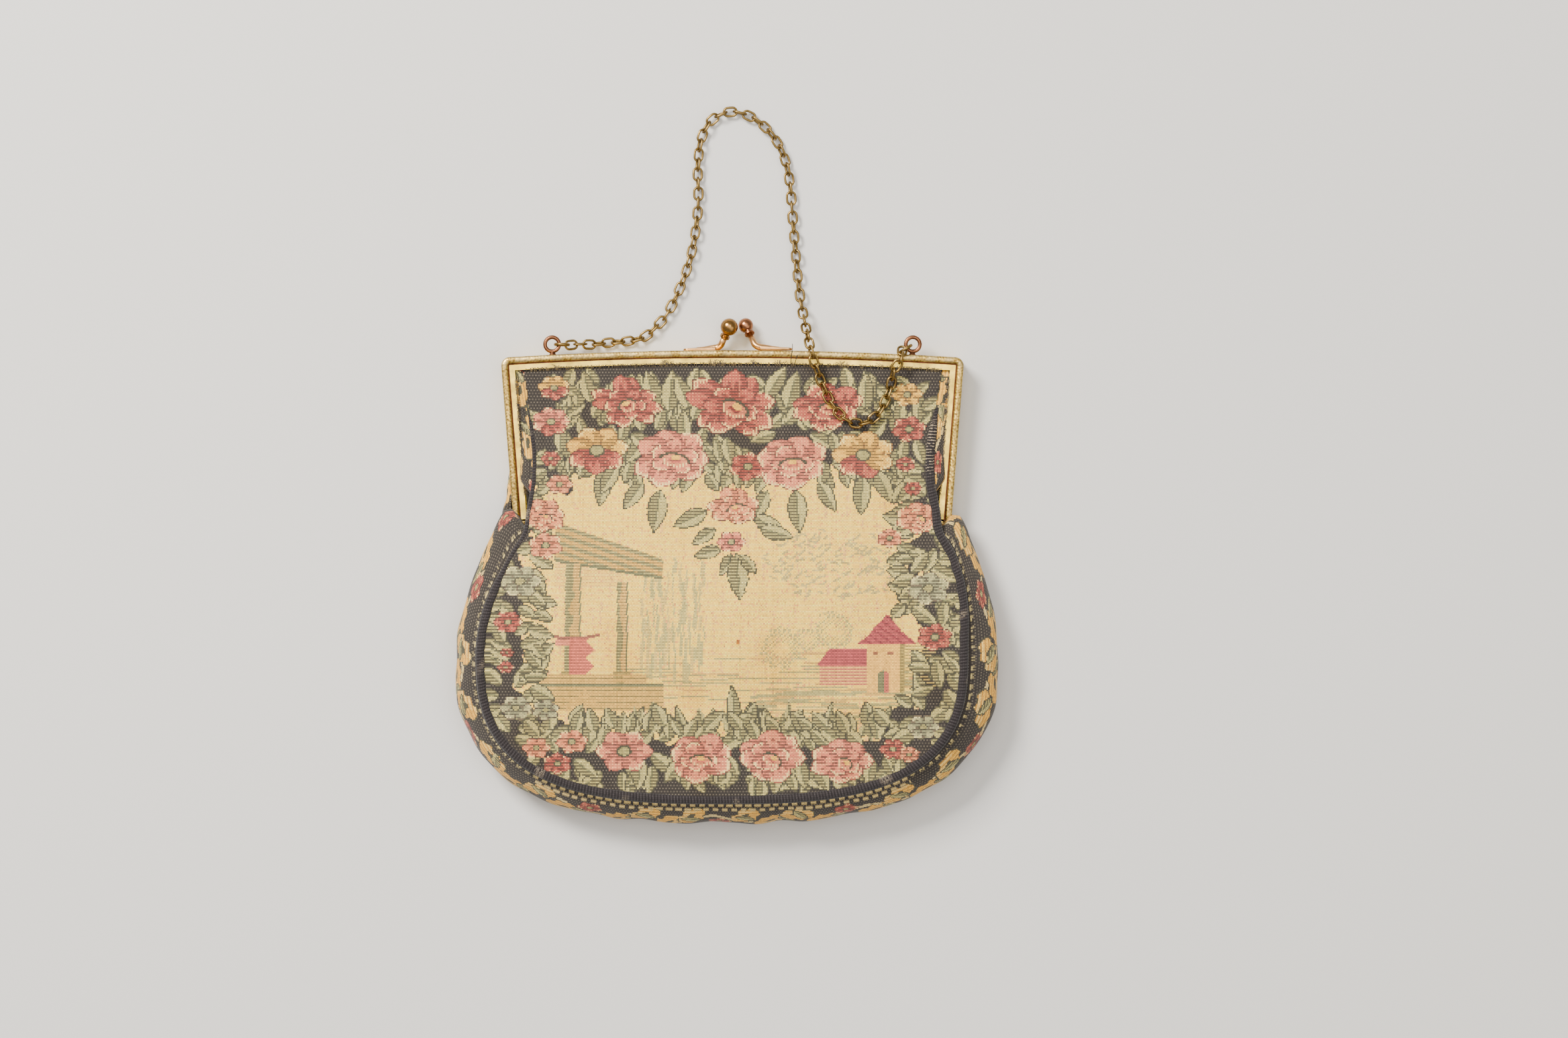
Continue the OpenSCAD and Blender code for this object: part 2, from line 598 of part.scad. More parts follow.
// Gusset: one strip between the two seams that bulges out, and is pinched in at the hinges.
// Over the ends of the piping its edges run on under the panels.
gusset_steps = 6;
edge_tuck = 1.6;
module gusset() {
    front = seam(front_spread);
    back = seam(0);
    room = piping_r + soft_gap + 0.1;
    // Section at seam point i, from the back seam (v = 0) to the front seam (v = 1).
    function at(i, v, side) =
        let (out = outward(back, i, false))
        let (low = back_seam_z + room)
        let (high = front_face_z(front[i].x, front[i].y) - room)
        let (tuck = edge_tuck * smooth((back[i].y - piping_top) / 4))
        let (reach = side * cloth_t / 2 - tuck + (bulge_at(back[i].y) + tuck) * pow(sin(180 * v), 0.8))
        let (q = mix(back[i], front[i], v) + reach * out)
        [q.x, q.y, mix(low, high, v)];
    color(dark_cloth) loft([for (i = [0:len(back) - 1]) concat(
        [for (k = [0:gusset_steps]) at(i, k / gusset_steps, 1)],
        [for (k = [gusset_steps:-1:0]) at(i, k / gusset_steps, -1)])]);
}

// Piping: a round cord in each seam, which ends below the corners of the frame.
piping_sides = 8;
piping_top = corner_y - 15;
module piping(line, front) {
    function height(p) = front ? front_face_z(p.x, p.y) : back_seam_z;
    color(dark_cloth) loft([for (i = [0:len(line) - 1]) if (line[i].y < piping_top)
        let (out = outward(line, i, false))
        [for (k = [0:piping_sides - 1]) let (a = 360 * k / piping_sides)
            [line[i].x + piping_r * cos(a) * out.x,
             line[i].y + piping_r * cos(a) * out.y,
             height(line[i]) + piping_r * sin(a)]]]);
}

module front_piping() {
    piping(seam(front_spread), true);
}

module back_piping() {
    piping(seam(0), false);
}

// Lining: a flat inner bag, open at the frame.
lining_sides = 28;
lining_top = corner_y - 8;
lining_bottom = seam_bottom + 4;
lining_steps = 11;
lining_lead = 4;
module lining() {
    widths = [for (p = reversed(right_seam(0))) [p.y, p.x]];
    // Ring round the bag at height y, held in from the outer cloth by gap.
    function ring(y, gap) =
        let (half_w = lookup(y, widths) - 2 * panel_edge - gap)
        let (low = back_face_z(y + lining_lead) + cloth_t / 2 + soft_gap + gap)
        [for (k = [0:lining_sides - 1])
            let (a = 360 * (k + 0.5) / lining_sides)
            let (x = half_w * sign(cos(a)) * pow(abs(cos(a)), 0.6))
            let (high = front_face_z(half_w, y) - cloth_t / 2 - soft_gap - gap)
            let (top = high + (front_face_z(x, y) - front_face_z(half_w, y)) * abs(sin(a)))
            let (mid = (low + high) / 2)
            let (flat = pow(abs(sin(a)), 0.5))
            [x, y, sin(a) > 0 ? mix(mid, top, flat) : mix(mid, low, flat)]];
    heights = [for (i = [0:lining_steps]) mix(lining_bottom, lining_top, sin(90 * i / lining_steps))];
    color(silk) loft(concat(
        [for (y = heights) ring(y + (y == lining_bottom ? lining_t : 0), lining_t)],
        [for (y = reversed(heights)) ring(y, 0)]));
}

front_rim();
front_flange();
back_rim();
back_flange();
left_hinge_rivet();
right_hinge_rivet();
back_clasp_arm();
back_clasp_ball();
front_clasp_arm();
front_clasp_ball();
left_chain_eye();
right_chain_eye();
left_jump_ring();
right_jump_ring();
chain();
front_panel();
back_panel();
gusset();
front_piping();
back_piping();
lining();
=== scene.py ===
import math
import bpy
import numpy as np
from mathutils import Matrix


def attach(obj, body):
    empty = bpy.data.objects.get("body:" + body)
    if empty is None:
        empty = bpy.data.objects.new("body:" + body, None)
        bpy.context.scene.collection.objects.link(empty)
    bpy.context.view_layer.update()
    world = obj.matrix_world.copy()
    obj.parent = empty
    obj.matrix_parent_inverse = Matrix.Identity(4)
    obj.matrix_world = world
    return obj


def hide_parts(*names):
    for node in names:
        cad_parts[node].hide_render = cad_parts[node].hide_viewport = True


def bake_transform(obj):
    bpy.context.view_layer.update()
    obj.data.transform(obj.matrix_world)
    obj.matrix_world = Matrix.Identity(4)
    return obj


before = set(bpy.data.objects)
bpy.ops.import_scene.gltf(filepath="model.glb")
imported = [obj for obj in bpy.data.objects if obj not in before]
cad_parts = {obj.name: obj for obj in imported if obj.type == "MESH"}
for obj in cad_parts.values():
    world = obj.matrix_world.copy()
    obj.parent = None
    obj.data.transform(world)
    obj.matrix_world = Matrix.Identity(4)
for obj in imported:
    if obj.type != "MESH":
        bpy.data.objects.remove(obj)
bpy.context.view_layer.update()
bpy.ops.object.select_all(action="DESELECT")

# Pale paper table that the purse lies on, soft studio light with the key lamp at the upper left, and
# the camera, which looks straight down on the front panel.
mm = 0.001
bpy.ops.mesh.primitive_plane_add(size=6)
table = bpy.context.object
table.name = "table"


def new_finish(name):
    """A new material and its shader."""
    finish = bpy.data.materials.new(name)
    finish.use_nodes = True
    return finish, finish.node_tree.nodes["Principled BSDF"]


paper, paper_shader = new_finish("pale_paper")
paper_shader.inputs["Base Color"].default_value = (0.66, 0.65, 0.63, 1)
paper_shader.inputs["Roughness"].default_value = 0.9
table.data.materials.append(paper)


def lamp(name, place, size, watts):
    bpy.ops.object.light_add(type="AREA", location=place)
    light = bpy.context.object
    light.name = name
    light.data.size = size
    light.data.energy = watts
    light.data.color = (1, 0.955, 0.89)
    x, y, z = place
    light.rotation_euler = (math.atan2(math.hypot(x, y), z), 0, math.atan2(x, -y))


lamp("key_lamp", (-0.75, 0.85, 1.15), 0.5, 52)
lamp("fill_lamp", (0.9, -0.5, 1.3), 1.2, 9)
lamp("top_lamp", (0.1, 0.35, 1.9), 1.4, 23)
studio = bpy.data.worlds.new("studio")
studio.use_nodes = True
studio.node_tree.nodes["Background"].inputs["Color"].default_value = (1, 0.98, 0.95, 1)
studio.node_tree.nodes["Background"].inputs["Strength"].default_value = 0.45
bpy.context.scene.world = studio
bpy.ops.object.camera_add(location=(0.0179, 0.0234, 1.31), rotation=(0, 0, 0))
camera = bpy.context.object
camera.data.sensor_width = 36
camera.data.lens = 86
camera.data.clip_start = 0.01
bpy.context.scene.camera = camera

# Front panel: tapestry of wool and cotton, woven with flowers round a garden scene. It is cut to the
# shape of the bag, clamped under the front flange and sewn to the piping round its sides and bottom.
top_y, corner_y, hinge_y, hinge_z = 82.0, 79.4, 22.4, 5.35
lean = math.radians(4.5)
frame_half, arch_rise, inner_inset = 80.5, 2.6, 4.6
arch_r = (frame_half ** 2 + arch_rise ** 2) / (2 * arch_rise)
arch_cy = top_y - arch_r
seam_bottom, belly_x, belly_power, front_spread = -73.0, 83.0, 2.9, 1.8
belly_y = hinge_y + 0.46 * (seam_bottom - hinge_y)
cloth_half = 0.55


def ease(t):
    t = np.clip(t, 0, 1)
    return t * t * (3 - 2 * t)


def between(a, b, t):
    return a + (b - a) * t


def leg_x(y):
    return frame_half - (corner_y - y) * math.tan(lean)


def leg_in(y):
    return leg_x(y) - inner_inset / math.cos(lean)


def arch_y(x):
    return arch_cy + np.sqrt(arch_r ** 2 - np.asarray(x) ** 2)


def smooth_line(knots, steps):
    p = np.asarray(knots, float)
    p = np.vstack([p[:1], p, p[-1:]])
    t = np.linspace(0, 1, steps, endpoint=False)[:, None]
    runs = []
    for a, b, c, d in zip(p[:-3], p[1:-2], p[2:-1], p[3:]):
        runs.append(0.5 * (2 * b + (c - a) * t + (2 * a - 5 * b + 4 * c - d) * t ** 2
                           + (3 * b - a - 3 * c + d) * t ** 3))
    return np.vstack(runs + [p[-1:]])


def seam_line(spread):
    h, by = hinge_y, belly_y
    low_x = leg_in(h) - 2.4 + spread
    upper = smooth_line([
        (leg_in(76) - 2.4, 76), (leg_in(h + 38) - 3.7, h + 38), (leg_in(h + 24) - 4.6, h + 24),
        (leg_in(h + 13) - 4 + 0.2 * spread, h + 13), (leg_in(h + 3.5) - 2.8 + 0.8 * spread, h + 3.5),
        (low_x + 0.6, h - 4), (between(low_x, belly_x, 0.4), between(h, by, 0.26)),
        (between(low_x, belly_x, 0.74), between(h, by, 0.5)),
        (between(low_x, belly_x, 0.94), between(h, by, 0.75)), (belly_x, by)], 12)
    a = np.pi / 2 * ease(np.linspace(0, 1, 70)[1:])
    lower = np.c_[belly_x * np.clip(np.cos(a), 0, 1) ** (2 / belly_power),
                  by - (by - seam_bottom) * np.sin(a) ** (2 / belly_power)]
    return np.vstack([upper, lower])


def seam_half(y, spread):
    line = seam_line(spread)[::-1]
    return np.interp(y, line[:, 1], line[:, 0])


slouch_x, slouch_top, slouch_run = -3.4, 16, 40
neck_z, belly_z, puff_h, bag_half = 7.92, 22.73, 5, 92
panel_top, panel_run = 74.8, 147.8
back_flat_z, back_neck_z, back_neck_y = 0.55, 2.78, 62.4


def slouch(y):
    """How far the bag hangs over to the left, by height."""
    return slouch_x * ease((slouch_top - y) / slouch_run)


def front_face_z(x, y):
    round_x = np.maximum(0, 1 - (x / bag_half) ** 2)
    puff = puff_h * round_x * np.sin(np.pi * np.clip((panel_top - y) / panel_run, 0, 1))
    return between(neck_z, belly_z, ease((hinge_y + 36 - y) / 88)) + puff


def back_face_z(y):
    return between(back_flat_z, back_neck_z, ease((y - back_neck_y) / 12))


def soft_noise(x, y, size, seed):
    """Smooth waves in nine directions, from about -1 to 1, as long as size."""
    draw = np.random.default_rng(seed)
    total = 0
    for _ in range(9):
        turn, reach, start = draw.uniform(0, 2 * np.pi), draw.uniform(0.6, 1.5), draw.uniform(0, 2 * np.pi)
        total = total + np.sin(2 * np.pi * reach / size * (x * np.cos(turn) + y * np.sin(turn)) + start)
    return total / 4


def pick(*pieces):
    """Selects these pieces alone and makes the first one active."""
    bpy.ops.object.select_all(action="DESELECT")
    for piece in pieces:
        piece.select_set(True)
    bpy.context.view_layer.objects.active = pieces[0]


def edit_chosen(piece, kind, chosen):
    """Opens a piece in edit mode with only the chosen of its "polygons" or "edges" selected."""
    pick(piece)
    bpy.context.tool_settings.mesh_select_mode = (False, kind == "edges", kind == "polygons")
    bpy.ops.object.mode_set(mode="EDIT")
    bpy.ops.mesh.select_all(action="DESELECT")
    bpy.ops.object.mode_set(mode="OBJECT")
    getattr(piece.data, kind).foreach_set("select", chosen)
    bpy.ops.object.mode_set(mode="EDIT")


def laid_grid(name, across, along, place):
    """A grid primitive whose points go where place puts them, in millimetres."""
    bpy.ops.object.select_all(action="DESELECT")
    bpy.ops.mesh.primitive_grid_add(x_subdivisions=across, y_subdivisions=along, size=2)
    piece = bpy.context.object
    piece.name = piece.data.name = name
    points = np.empty(len(piece.data.vertices) * 3, np.float32)
    piece.data.vertices.foreach_get("co", points)
    points = points.reshape(-1, 3).astype(float)
    laid = np.column_stack(place((points[:, 0] + 1) / 2, (points[:, 1] + 1) / 2)) * mm
    piece.data.vertices.foreach_set("co", laid.astype(np.float32).ravel())
    piece.data.update()
    bpy.ops.object.shade_smooth()
    return piece


def face_middles(piece):
    middles = np.empty(len(piece.data.polygons) * 3, np.float32)
    piece.data.polygons.foreach_get("center", middles)
    return middles.reshape(-1, 3).astype(float) / mm


def trim(piece, outside):
    """Cuts away the faces for which outside, a function of their middles in millimetres, is true."""
    edit_chosen(piece, "polygons", outside(face_middles(piece)))
    bpy.ops.mesh.delete(type="FACE")
    bpy.ops.object.mode_set(mode="OBJECT")


def face_uv(piece):
    """Middle of each four-sided face on the piece's own UV map."""
    loops = np.empty(len(piece.data.loops) * 2, np.float32)
    piece.data.uv_layers[0].data.foreach_get("uv", loops)
    starts = np.empty(len(piece.data.polygons), np.int32)
    piece.data.polygons.foreach_get("loop_start", starts)
    loops = loops.reshape(-1, 2).astype(float)
    return sum(loops[starts + k] for k in range(4)) / 4


def linear(colour):
    c = np.asarray(colour, float)
    return np.where(c <= 0.04045, c / 12.92, ((c + 0.055) / 1.055) ** 2.4)


def dye(piece, name, colours):
    """Gives each face its own colour, from 0 to 1 as seen on a screen."""
    layer = piece.data.attributes.new(name, "FLOAT_COLOR", "FACE")
    full = np.ones((len(colours), 4), np.float32)
    full[:, :3] = linear(np.clip(colours, 0, 1))
    layer.data.foreach_set("color", full.ravel())


def rgb(*values):
    return np.array(values, float) / 255


class Loom:
    """A woven picture: one colour for each crossing of threads, and how dark every second weft is."""

    def __init__(self, across, along, cell_w, cell_h, left, low):
        self.shape, self.left, self.low = (along, across), left, low
        self.cell_w, self.cell_h = cell_w, cell_h
        self.col, self.row = np.meshgrid(np.arange(across), np.arange(along))
        self.x, self.y = left + (self.col + 0.5) * cell_w, low + (self.row + 0.5) * cell_h
        self.colour, self.weft = np.zeros((along, across, 3)), np.zeros((along, across))

    def paint(self, where, colour, weft):
        self.colour[where] = colour
        self.weft[where] = weft

    def local(self, x, y, turn, flat=1.0):
        """Places along and across a line that starts at a point and goes off at a turn in degrees."""
        a = math.radians(turn)
        dx, dy = self.x - x, (self.y - y) / flat
        return dx * math.cos(a) + dy * math.sin(a), dy * math.cos(a) - dx * math.sin(a)

    def woven(self, seed):
        """The finished cloth: dark wefts, uneven threads and old yellowing over the picture."""
        draw = np.random.default_rng(seed)
        dark = np.where(self.row % 2 == 1, self.weft, 0)[..., None]
        cloth = self.colour * (1 - dark) + charcoal * dark
        light = np.where((self.row + self.col) % 2 == 0, 1.045, 0.955)
        light = light + draw.normal(0, 0.045, self.shape) + draw.normal(0, 0.018, (1, self.shape[1]))
        return np.clip(cloth * light[..., None] * yellowing, 0, 1)

    def at(self, x, y):
        """Row and column of the crossings at these places."""
        col = np.clip(((x - self.left) / self.cell_w).astype(int), 0, self.shape[1] - 1)
        row = np.clip(((y - self.low) / self.cell_h).astype(int), 0, self.shape[0] - 1)
        return row, col


yellowing = np.array([1.02, 1, 0.9])
charcoal, ground_speck = rgb(50, 46, 47), rgb(88, 82, 79)
cream, cream_light = rgb(250, 203, 88), rgb(250, 212, 112)
sage_light, sage, sage_deep = rgb(186, 175, 116), rgb(164, 155, 104), rgb(120, 120, 90)
leaf_dark, petal_shade = rgb(76, 75, 64), rgb(98, 68, 62)
red_tones = rgb(136, 60, 58), rgb(180, 90, 80), rgb(236, 196, 134)
pink_tones = rgb(192, 98, 88), rgb(226, 134, 110), rgb(244, 208, 148)
salmon_tones = rgb(204, 108, 80), rgb(230, 144, 106), rgb(244, 206, 142)
ochre_tones = rgb(190, 138, 60), rgb(236, 180, 78), rgb(248, 216, 136)
pale_tones = rgb(116, 118, 100), rgb(168, 164, 126), rgb(208, 196, 150)
raspberry, olive, straw = rgb(176, 80, 88), rgb(166, 144, 84), rgb(218, 174, 94)


def leaf(loom, x, y, turn, length, width, rim=True, flip=1):
    """Leaf with a pale half, a hatched half, a vein and, with rim, a dark outline."""
    along, across = loom.local(x, y, turn)
    across = across * flip
    t = along / length
    half = width / 2 * np.sin(np.pi * np.clip(t, 0, 1) ** 0.8) ** 0.8 * (1 + 0.06 * np.sin(along * 3.1))
    inside = (t > 0) & (t < 1)
    if rim:
        loom.paint((t > -0.03) & (t < 1.04) & (abs(across) < half + 0.45), leaf_dark, 0.3)
    body = inside & (abs(across) < half)
    loom.paint(body, sage_light, 0.16)
    loom.paint(body & (loom.row % 2 == 0) & (loom.col % 2 == 0), rgb(192, 182, 128), 0.1)
    loom.paint(body & (across < 0.1 * half), sage, 0.68)
    loom.paint(inside & (abs(across) < 0.27) & (t < 0.8), sage_deep, 0.5)


bloom_flat = 0.76


def petal(loom, x, y, turn, length, width, tones, lit):
    """Petal from a bloom's middle: outline, body, hatched base and, where lit, a pale ragged tip."""
    along, across = loom.local(x, y, turn, bloom_flat)
    t = along / length
    half = width / 2 * np.sin(np.pi * np.clip(t, 0, 1) ** 1.3) ** 0.6
    end = 0.93 + 0.06 * np.cos(3 * np.pi * across / width)
    body = (t > 0.03) & (t < end) & (abs(across) < half)
    outline = (t > 0) & (t < 1.03) & (abs(across) < half + 0.36)
    loom.paint(outline, 0.45 * petal_shade + 0.55 * tones[0], 0.62)
    loom.paint(body, tones[1], 0.14)
    loom.paint(body & (loom.row % 2 == 0) & (loom.col % 2 == 0), 0.7 * tones[1] + 0.3 * tones[2], 0.1)
    hatched = body & ((t < 0.55 + 0.16 * np.sin(across * 2.3 + turn)) | (across < -0.55 * half))
    loom.paint(hatched, 0.5 * tones[0] + 0.5 * tones[1], 0.58)
    if lit:
        ragged = t > end - 0.05 - 0.08 * (loom.col % 2)
        tip = body & (ragged | (across > half * (0.97 - 0.1 * (loom.row % 2))))
        loom.paint(tip & (t > 0.62), tones[2], 0.05)


def rose(loom, x, y, r, turn, tones):
    """Outer petals, narrow on the red ones, fewer inner ones, and a small cup with a pale ragged lip."""
    rough = 1 + 0.12 * math.sin(turn)
    outer, wide_outer = (9, 0.58) if tones is red_tones else (7, 0.76)
    for ring, (reach, wide, count) in enumerate(((1, wide_outer, outer), (0.62, 0.52, 5))):
        for k in range(count):
            a = turn + ring * 31 + 360 * k / count + 9 * math.sin(3 * k + turn)
            lit = math.sin(math.radians(a)) < -0.2 or k % 3 == ring
            length = r * reach * (1 + 0.09 * math.sin(5 * k + turn))
            petal(loom, x, y, a, length, r * wide * rough, tones, lit)
    along, across = loom.local(x + 0.05 * r, y - 0.1 * r, 47 * turn % 110 - 55, bloom_flat)
    cup = np.hypot(along / ((0.24 + 0.004 * (turn % 30)) * r), across / (0.2 * r))
    loom.paint((cup < 1.3) & (across > 0), leaf_dark, 0.5)
    loom.paint(cup < 1, 0.4 * tones[1] + 0.6 * salmon_tones[1], 0.25)
    loom.paint((cup < 1.05) & (cup > 0.7) & (across < 0) & (loom.col % 2 == 0), tones[2], 0)
    loom.paint((cup < 0.5) & (across > -0.06 * r), tones[0], 0.4)
    loom.paint(np.hypot(along / 0.12, (across - 0.1 * r) / 0.09) < r, ochre_tones[1], 0.1)


def bloom_heart(loom, x, y, rim_r, heart_r):
    away = np.hypot(loom.x - x, (loom.y - y) / bloom_flat)
    loom.paint(away < rim_r, leaf_dark, 0.3)
    loom.paint(away < heart_r, sage, 0.2)


def daisy(loom, x, y, r, turn, tones, petals=6):
    for k in range(petals):
        petal(loom, x, y, turn + 360 * k / petals, r, 0.72 * r, tones, k % 2 == 0)
    bloom_heart(loom, x, y, 0.27 * r, 0.2 * r)


def two_tone(loom, x, y, r, turn, tones, petals=7):
    """Daisy whose lower petals are red."""
    for k in range(petals):
        a = turn + 360 * k / petals
        low = math.sin(math.radians(a)) < -0.45
        petal(loom, x, y, a, r, 0.7 * r, red_tones if low else tones, k % 2 == 0)
    bloom_heart(loom, x, y, 0.25 * r, 0.19 * r)


def garland_leaves(loom, draw):
    """Leaves all along the garland, pointing away from its middle line, and more between its two rows."""
    step, top_y_line, low_y_line, side_x_line, middle_x = 4.3, 54, -57, 71.5, -4
    for gy in np.arange(-66, 72, step):
        for gx in np.arange(-78, 79, step):
            px, py = gx + draw.uniform(-2, 2), gy + draw.uniform(-2, 2)
            off = abs(px - middle_x)
            top, low = abs(py - top_y_line) / 15.5, abs(py - low_y_line) / 9.5
            side = abs(off - side_x_line) / 8.5
            outward_turn = 0 if (px - middle_x) * np.sign(off - 71) > 0 else 180
            zones = [(top if abs(px) < 66 else 9, 90 if py > top_y_line else 270),
                     (low if abs(px + 3) < 64 else 9, 90 if py > low_y_line else 270),
                     (side if -54 < py < 47 else 9, outward_turn)]
            near, turn = min(zones)
            length, flip = draw.uniform(7.5, 11.5), 1 if draw.random() < 0.5 else -1
            turn, thin = turn + draw.uniform(-58, 58), draw.random()
            cottage = 30 < px < 67 and -38 < py < -8
            if near < 1 and thin > 0.05 and not cottage:
                leaf(loom, px, py, turn, length * (1 - 0.25 * near), length * 0.42, True, flip)
    for gx in np.arange(-63, 64, 5.2):
        length, flip = draw.uniform(7, 10), 1 if draw.random() < 0.5 else -1
        px, py, turn = gx + draw.uniform(-2, 2), 53.5 + draw.uniform(-3, 3), draw.uniform(0, 360)
        leaf(loom, px, py, turn, length, 0.45 * length, True, flip)


def lake_shore(loom, draw, field):
    """Foliage, a lake, round trees and cypresses, all faint."""
    x, y = loom.x, loom.y
    # Faint foliage over the lake, in short strokes that hook over
    for k in range(150):
        a, reach = draw.uniform(0, 2 * np.pi), draw.random() ** 0.5
        bx, by = 36 + 25 * reach * math.cos(a), 8 + 12 * reach * math.sin(a)
        along, across = loom.local(bx, by, draw.choice((20, 45, 160)))
        stroke = (abs(across - 0.12 * along ** 2) < 0.32) & (abs(along) < draw.uniform(0.8, 2))
        loom.paint(field & stroke, rgb(186, 168, 112), 0.12)
    # Lake in long broken lines, closer together at the near right shore
    ripples = np.random.default_rng(19)
    lines = [(draw.uniform(-30, 62), -21 - 18 * draw.random() ** 0.8, draw.uniform(5, 19))
             for _ in range(60)]
    near_lines = [(ripples.uniform(10, 64), ripples.uniform(-47, -35), ripples.uniform(6, 18))
                  for _ in range(80)]
    for group, tones in ((lines, (rgb(166, 158, 110), rgb(208, 164, 92), sage)),
                         (near_lines, (rgb(172, 162, 110), rgb(204, 168, 96), sage))):
        for k, (lx, ly, run) in enumerate(group):
            loom.paint(field & (abs(y - ly) < 0.3) & (abs(x - lx) < run * 0.5), tones[k % 3], 0.1)
    # Round trees on the far shore
    for tx, ty, r in ((17, -21, 7), (35, -15, 6.5), (26, -18, 4)):
        away = np.hypot((x - tx) / r, (y - ty) / r) + 0.12 * soft_noise(x, y, 4, 27)
        crown, rim = (away < 1) & (away > 0.35), (away < 1) & (away > 0.7)
        loom.paint(crown & ((loom.col + 2 * loom.row) % 3 == 0), rgb(190, 170, 106), 0.15)
        loom.paint(rim & ((loom.col + loom.row) % 3 == 0), sage_light, 0.2)
    # Cypresses as upright dashes
    for k in range(120):
        sx, sy, run = draw.uniform(-31, -9), draw.uniform(-30, 8), draw.uniform(1.5, 5)
        if abs(sx + 20) * 1.6 > 16 + (8 - sy) * 0.35:
            continue
        tree = (abs(x - sx) < draw.choice((0.3, 0.3, 0.55))) & (abs(y - sy) < run) & field
        loom.paint(tree, (rgb(214, 186, 112), rgb(196, 180, 116), sage_light)[k % 3], 0.16)


def pavilion(loom, edge):
    """Pavilion with a slanting roof, two columns and a floor with steps."""
    x, y = loom.x, loom.y
    roof_top, roof_low = 20 - (x + 54) * 0.34, 8.2 - (x + 58) * 0.16
    roof = (x > -61) & (x < -24) & (y < roof_top) & (y > roof_low)
    loom.paint(roof, rgb(214, 168, 84), 0.3)
    loom.paint(roof & (((y + x * 0.34 + 0.5 * edge) % 2.9) < 1.4), sage, 0.5)
    loom.paint((abs(y - roof_low - 0.4) < 0.5) & (x > -61) & (x < -24), sage_deep, 0.4)
    loom.paint((x > -61) & (x < -38) & (y < roof_low) & (y > 0) & (loom.row % 2 == 0), straw, 0.1)
    for cx, ctop, cwide in ((-54.5, 8, 2.6), (-37.4, 2, 1.9)):
        column = (abs(x - cx) < cwide) & (y < ctop) & (y > -30)
        loom.paint(column, straw, 0.34)
        loom.paint(column & (x < cx - 0.2 * cwide + 6 * edge), sage, 0.5)
        loom.paint(column & (abs(x - cx - 0.9 * cwide) < 0.3), sage_deep, 0.3)
        loom.paint((abs(x - cx) < cwide + 1.2) & (abs(y + 30) < 0.9), olive, 0.3)
    floor = (x > -67) & (x < -29 + (y < -33) * 6) & (y < -30) & (y > -42.5)
    loom.paint(floor, rgb(220, 174, 88), 0.22)
    loom.paint(floor & ((y % 2.1) < 0.6 + 2 * edge), olive, 0.3)
    loom.paint(floor & (abs(y + 33.4) < 0.6), sage_deep, 0.3)
    # Little shrine by the steps
    eave = (abs(y + 17.6 - 0.016 * (x + 54.5) ** 2) < 0.55) & (abs(x + 54.5) < 9.3)
    loom.paint(eave, rgb(150, 92, 80), 0.3)
    notch = 2.6 + 1.2 * np.sin(y * 1.1)
    shrine = (x > -55.5) & (x < -51 + notch) & (y < -17.5) & (y > -30)
    loom.paint(shrine, rgb(214, 110, 96), 0.3)
    loom.paint((abs(y + 19) < 1) & (abs(x + 58) < 2.6), rgb(222, 132, 108), 0.2)


def cottage(loom):
    """Cottage with a pointed tower on the right shore."""
    x, y = loom.x, loom.y
    wing_wall = (x > 30) & (x < 46.6) & (y < -26.5) & (y > -33.5)
    loom.paint(wing_wall, rgb(228, 176, 104), 0.1)
    loom.paint(wing_wall & (y % 1.05 < 0.53), rgb(200, 112, 98), 0.1)
    wing = (y < -21) & (y > -26.6) & (x > 29.5 + (y + 26.6) * 0.75) & (x < 46.6)
    loom.paint(wing, raspberry, 0.25)
    wall = (x > 46.6) & (x < 59.5) & (y < -19) & (y > -36)
    loom.paint(wall, rgb(232, 178, 92), 0.05)
    loom.paint(wall & (x > 57.8), olive, 0.3)
    shade_wall = (x > 59.5) & (x < 70) & (y < -19) & (y > -34)
    loom.paint(shade_wall & (loom.row % 2 == 0), olive, 0.2)
    for wx, wy in ((49.5, -22.5), (54.5, -22.5)):
        loom.paint((abs(x - wx) < 0.9) & (abs(y - wy) < 0.6), rgb(150, 96, 72), 0.2)
    door = (abs(x - 52) < 1.9) & (y < -28.6 - 0.35 * (x - 52) ** 2) & (y > -36)
    loom.paint(door, sage_deep, 0.3)
    loom.paint(door & (x > 52.6), rgb(196, 104, 92), 0.2)
    slope = 0.6 + 9.6 * ((-9.4 - np.minimum(y, -9.4)) / 10.2) ** 1.2
    tower = (y > -19.6) & (y < -9.4) & (abs(x - 53.2) < slope)
    loom.paint(tower, raspberry, 0.25)
    loom.paint(tower & (((x - 53) * 0.7 + y) % 2.6 < 0.7), rgb(146, 62, 74), 0.3)


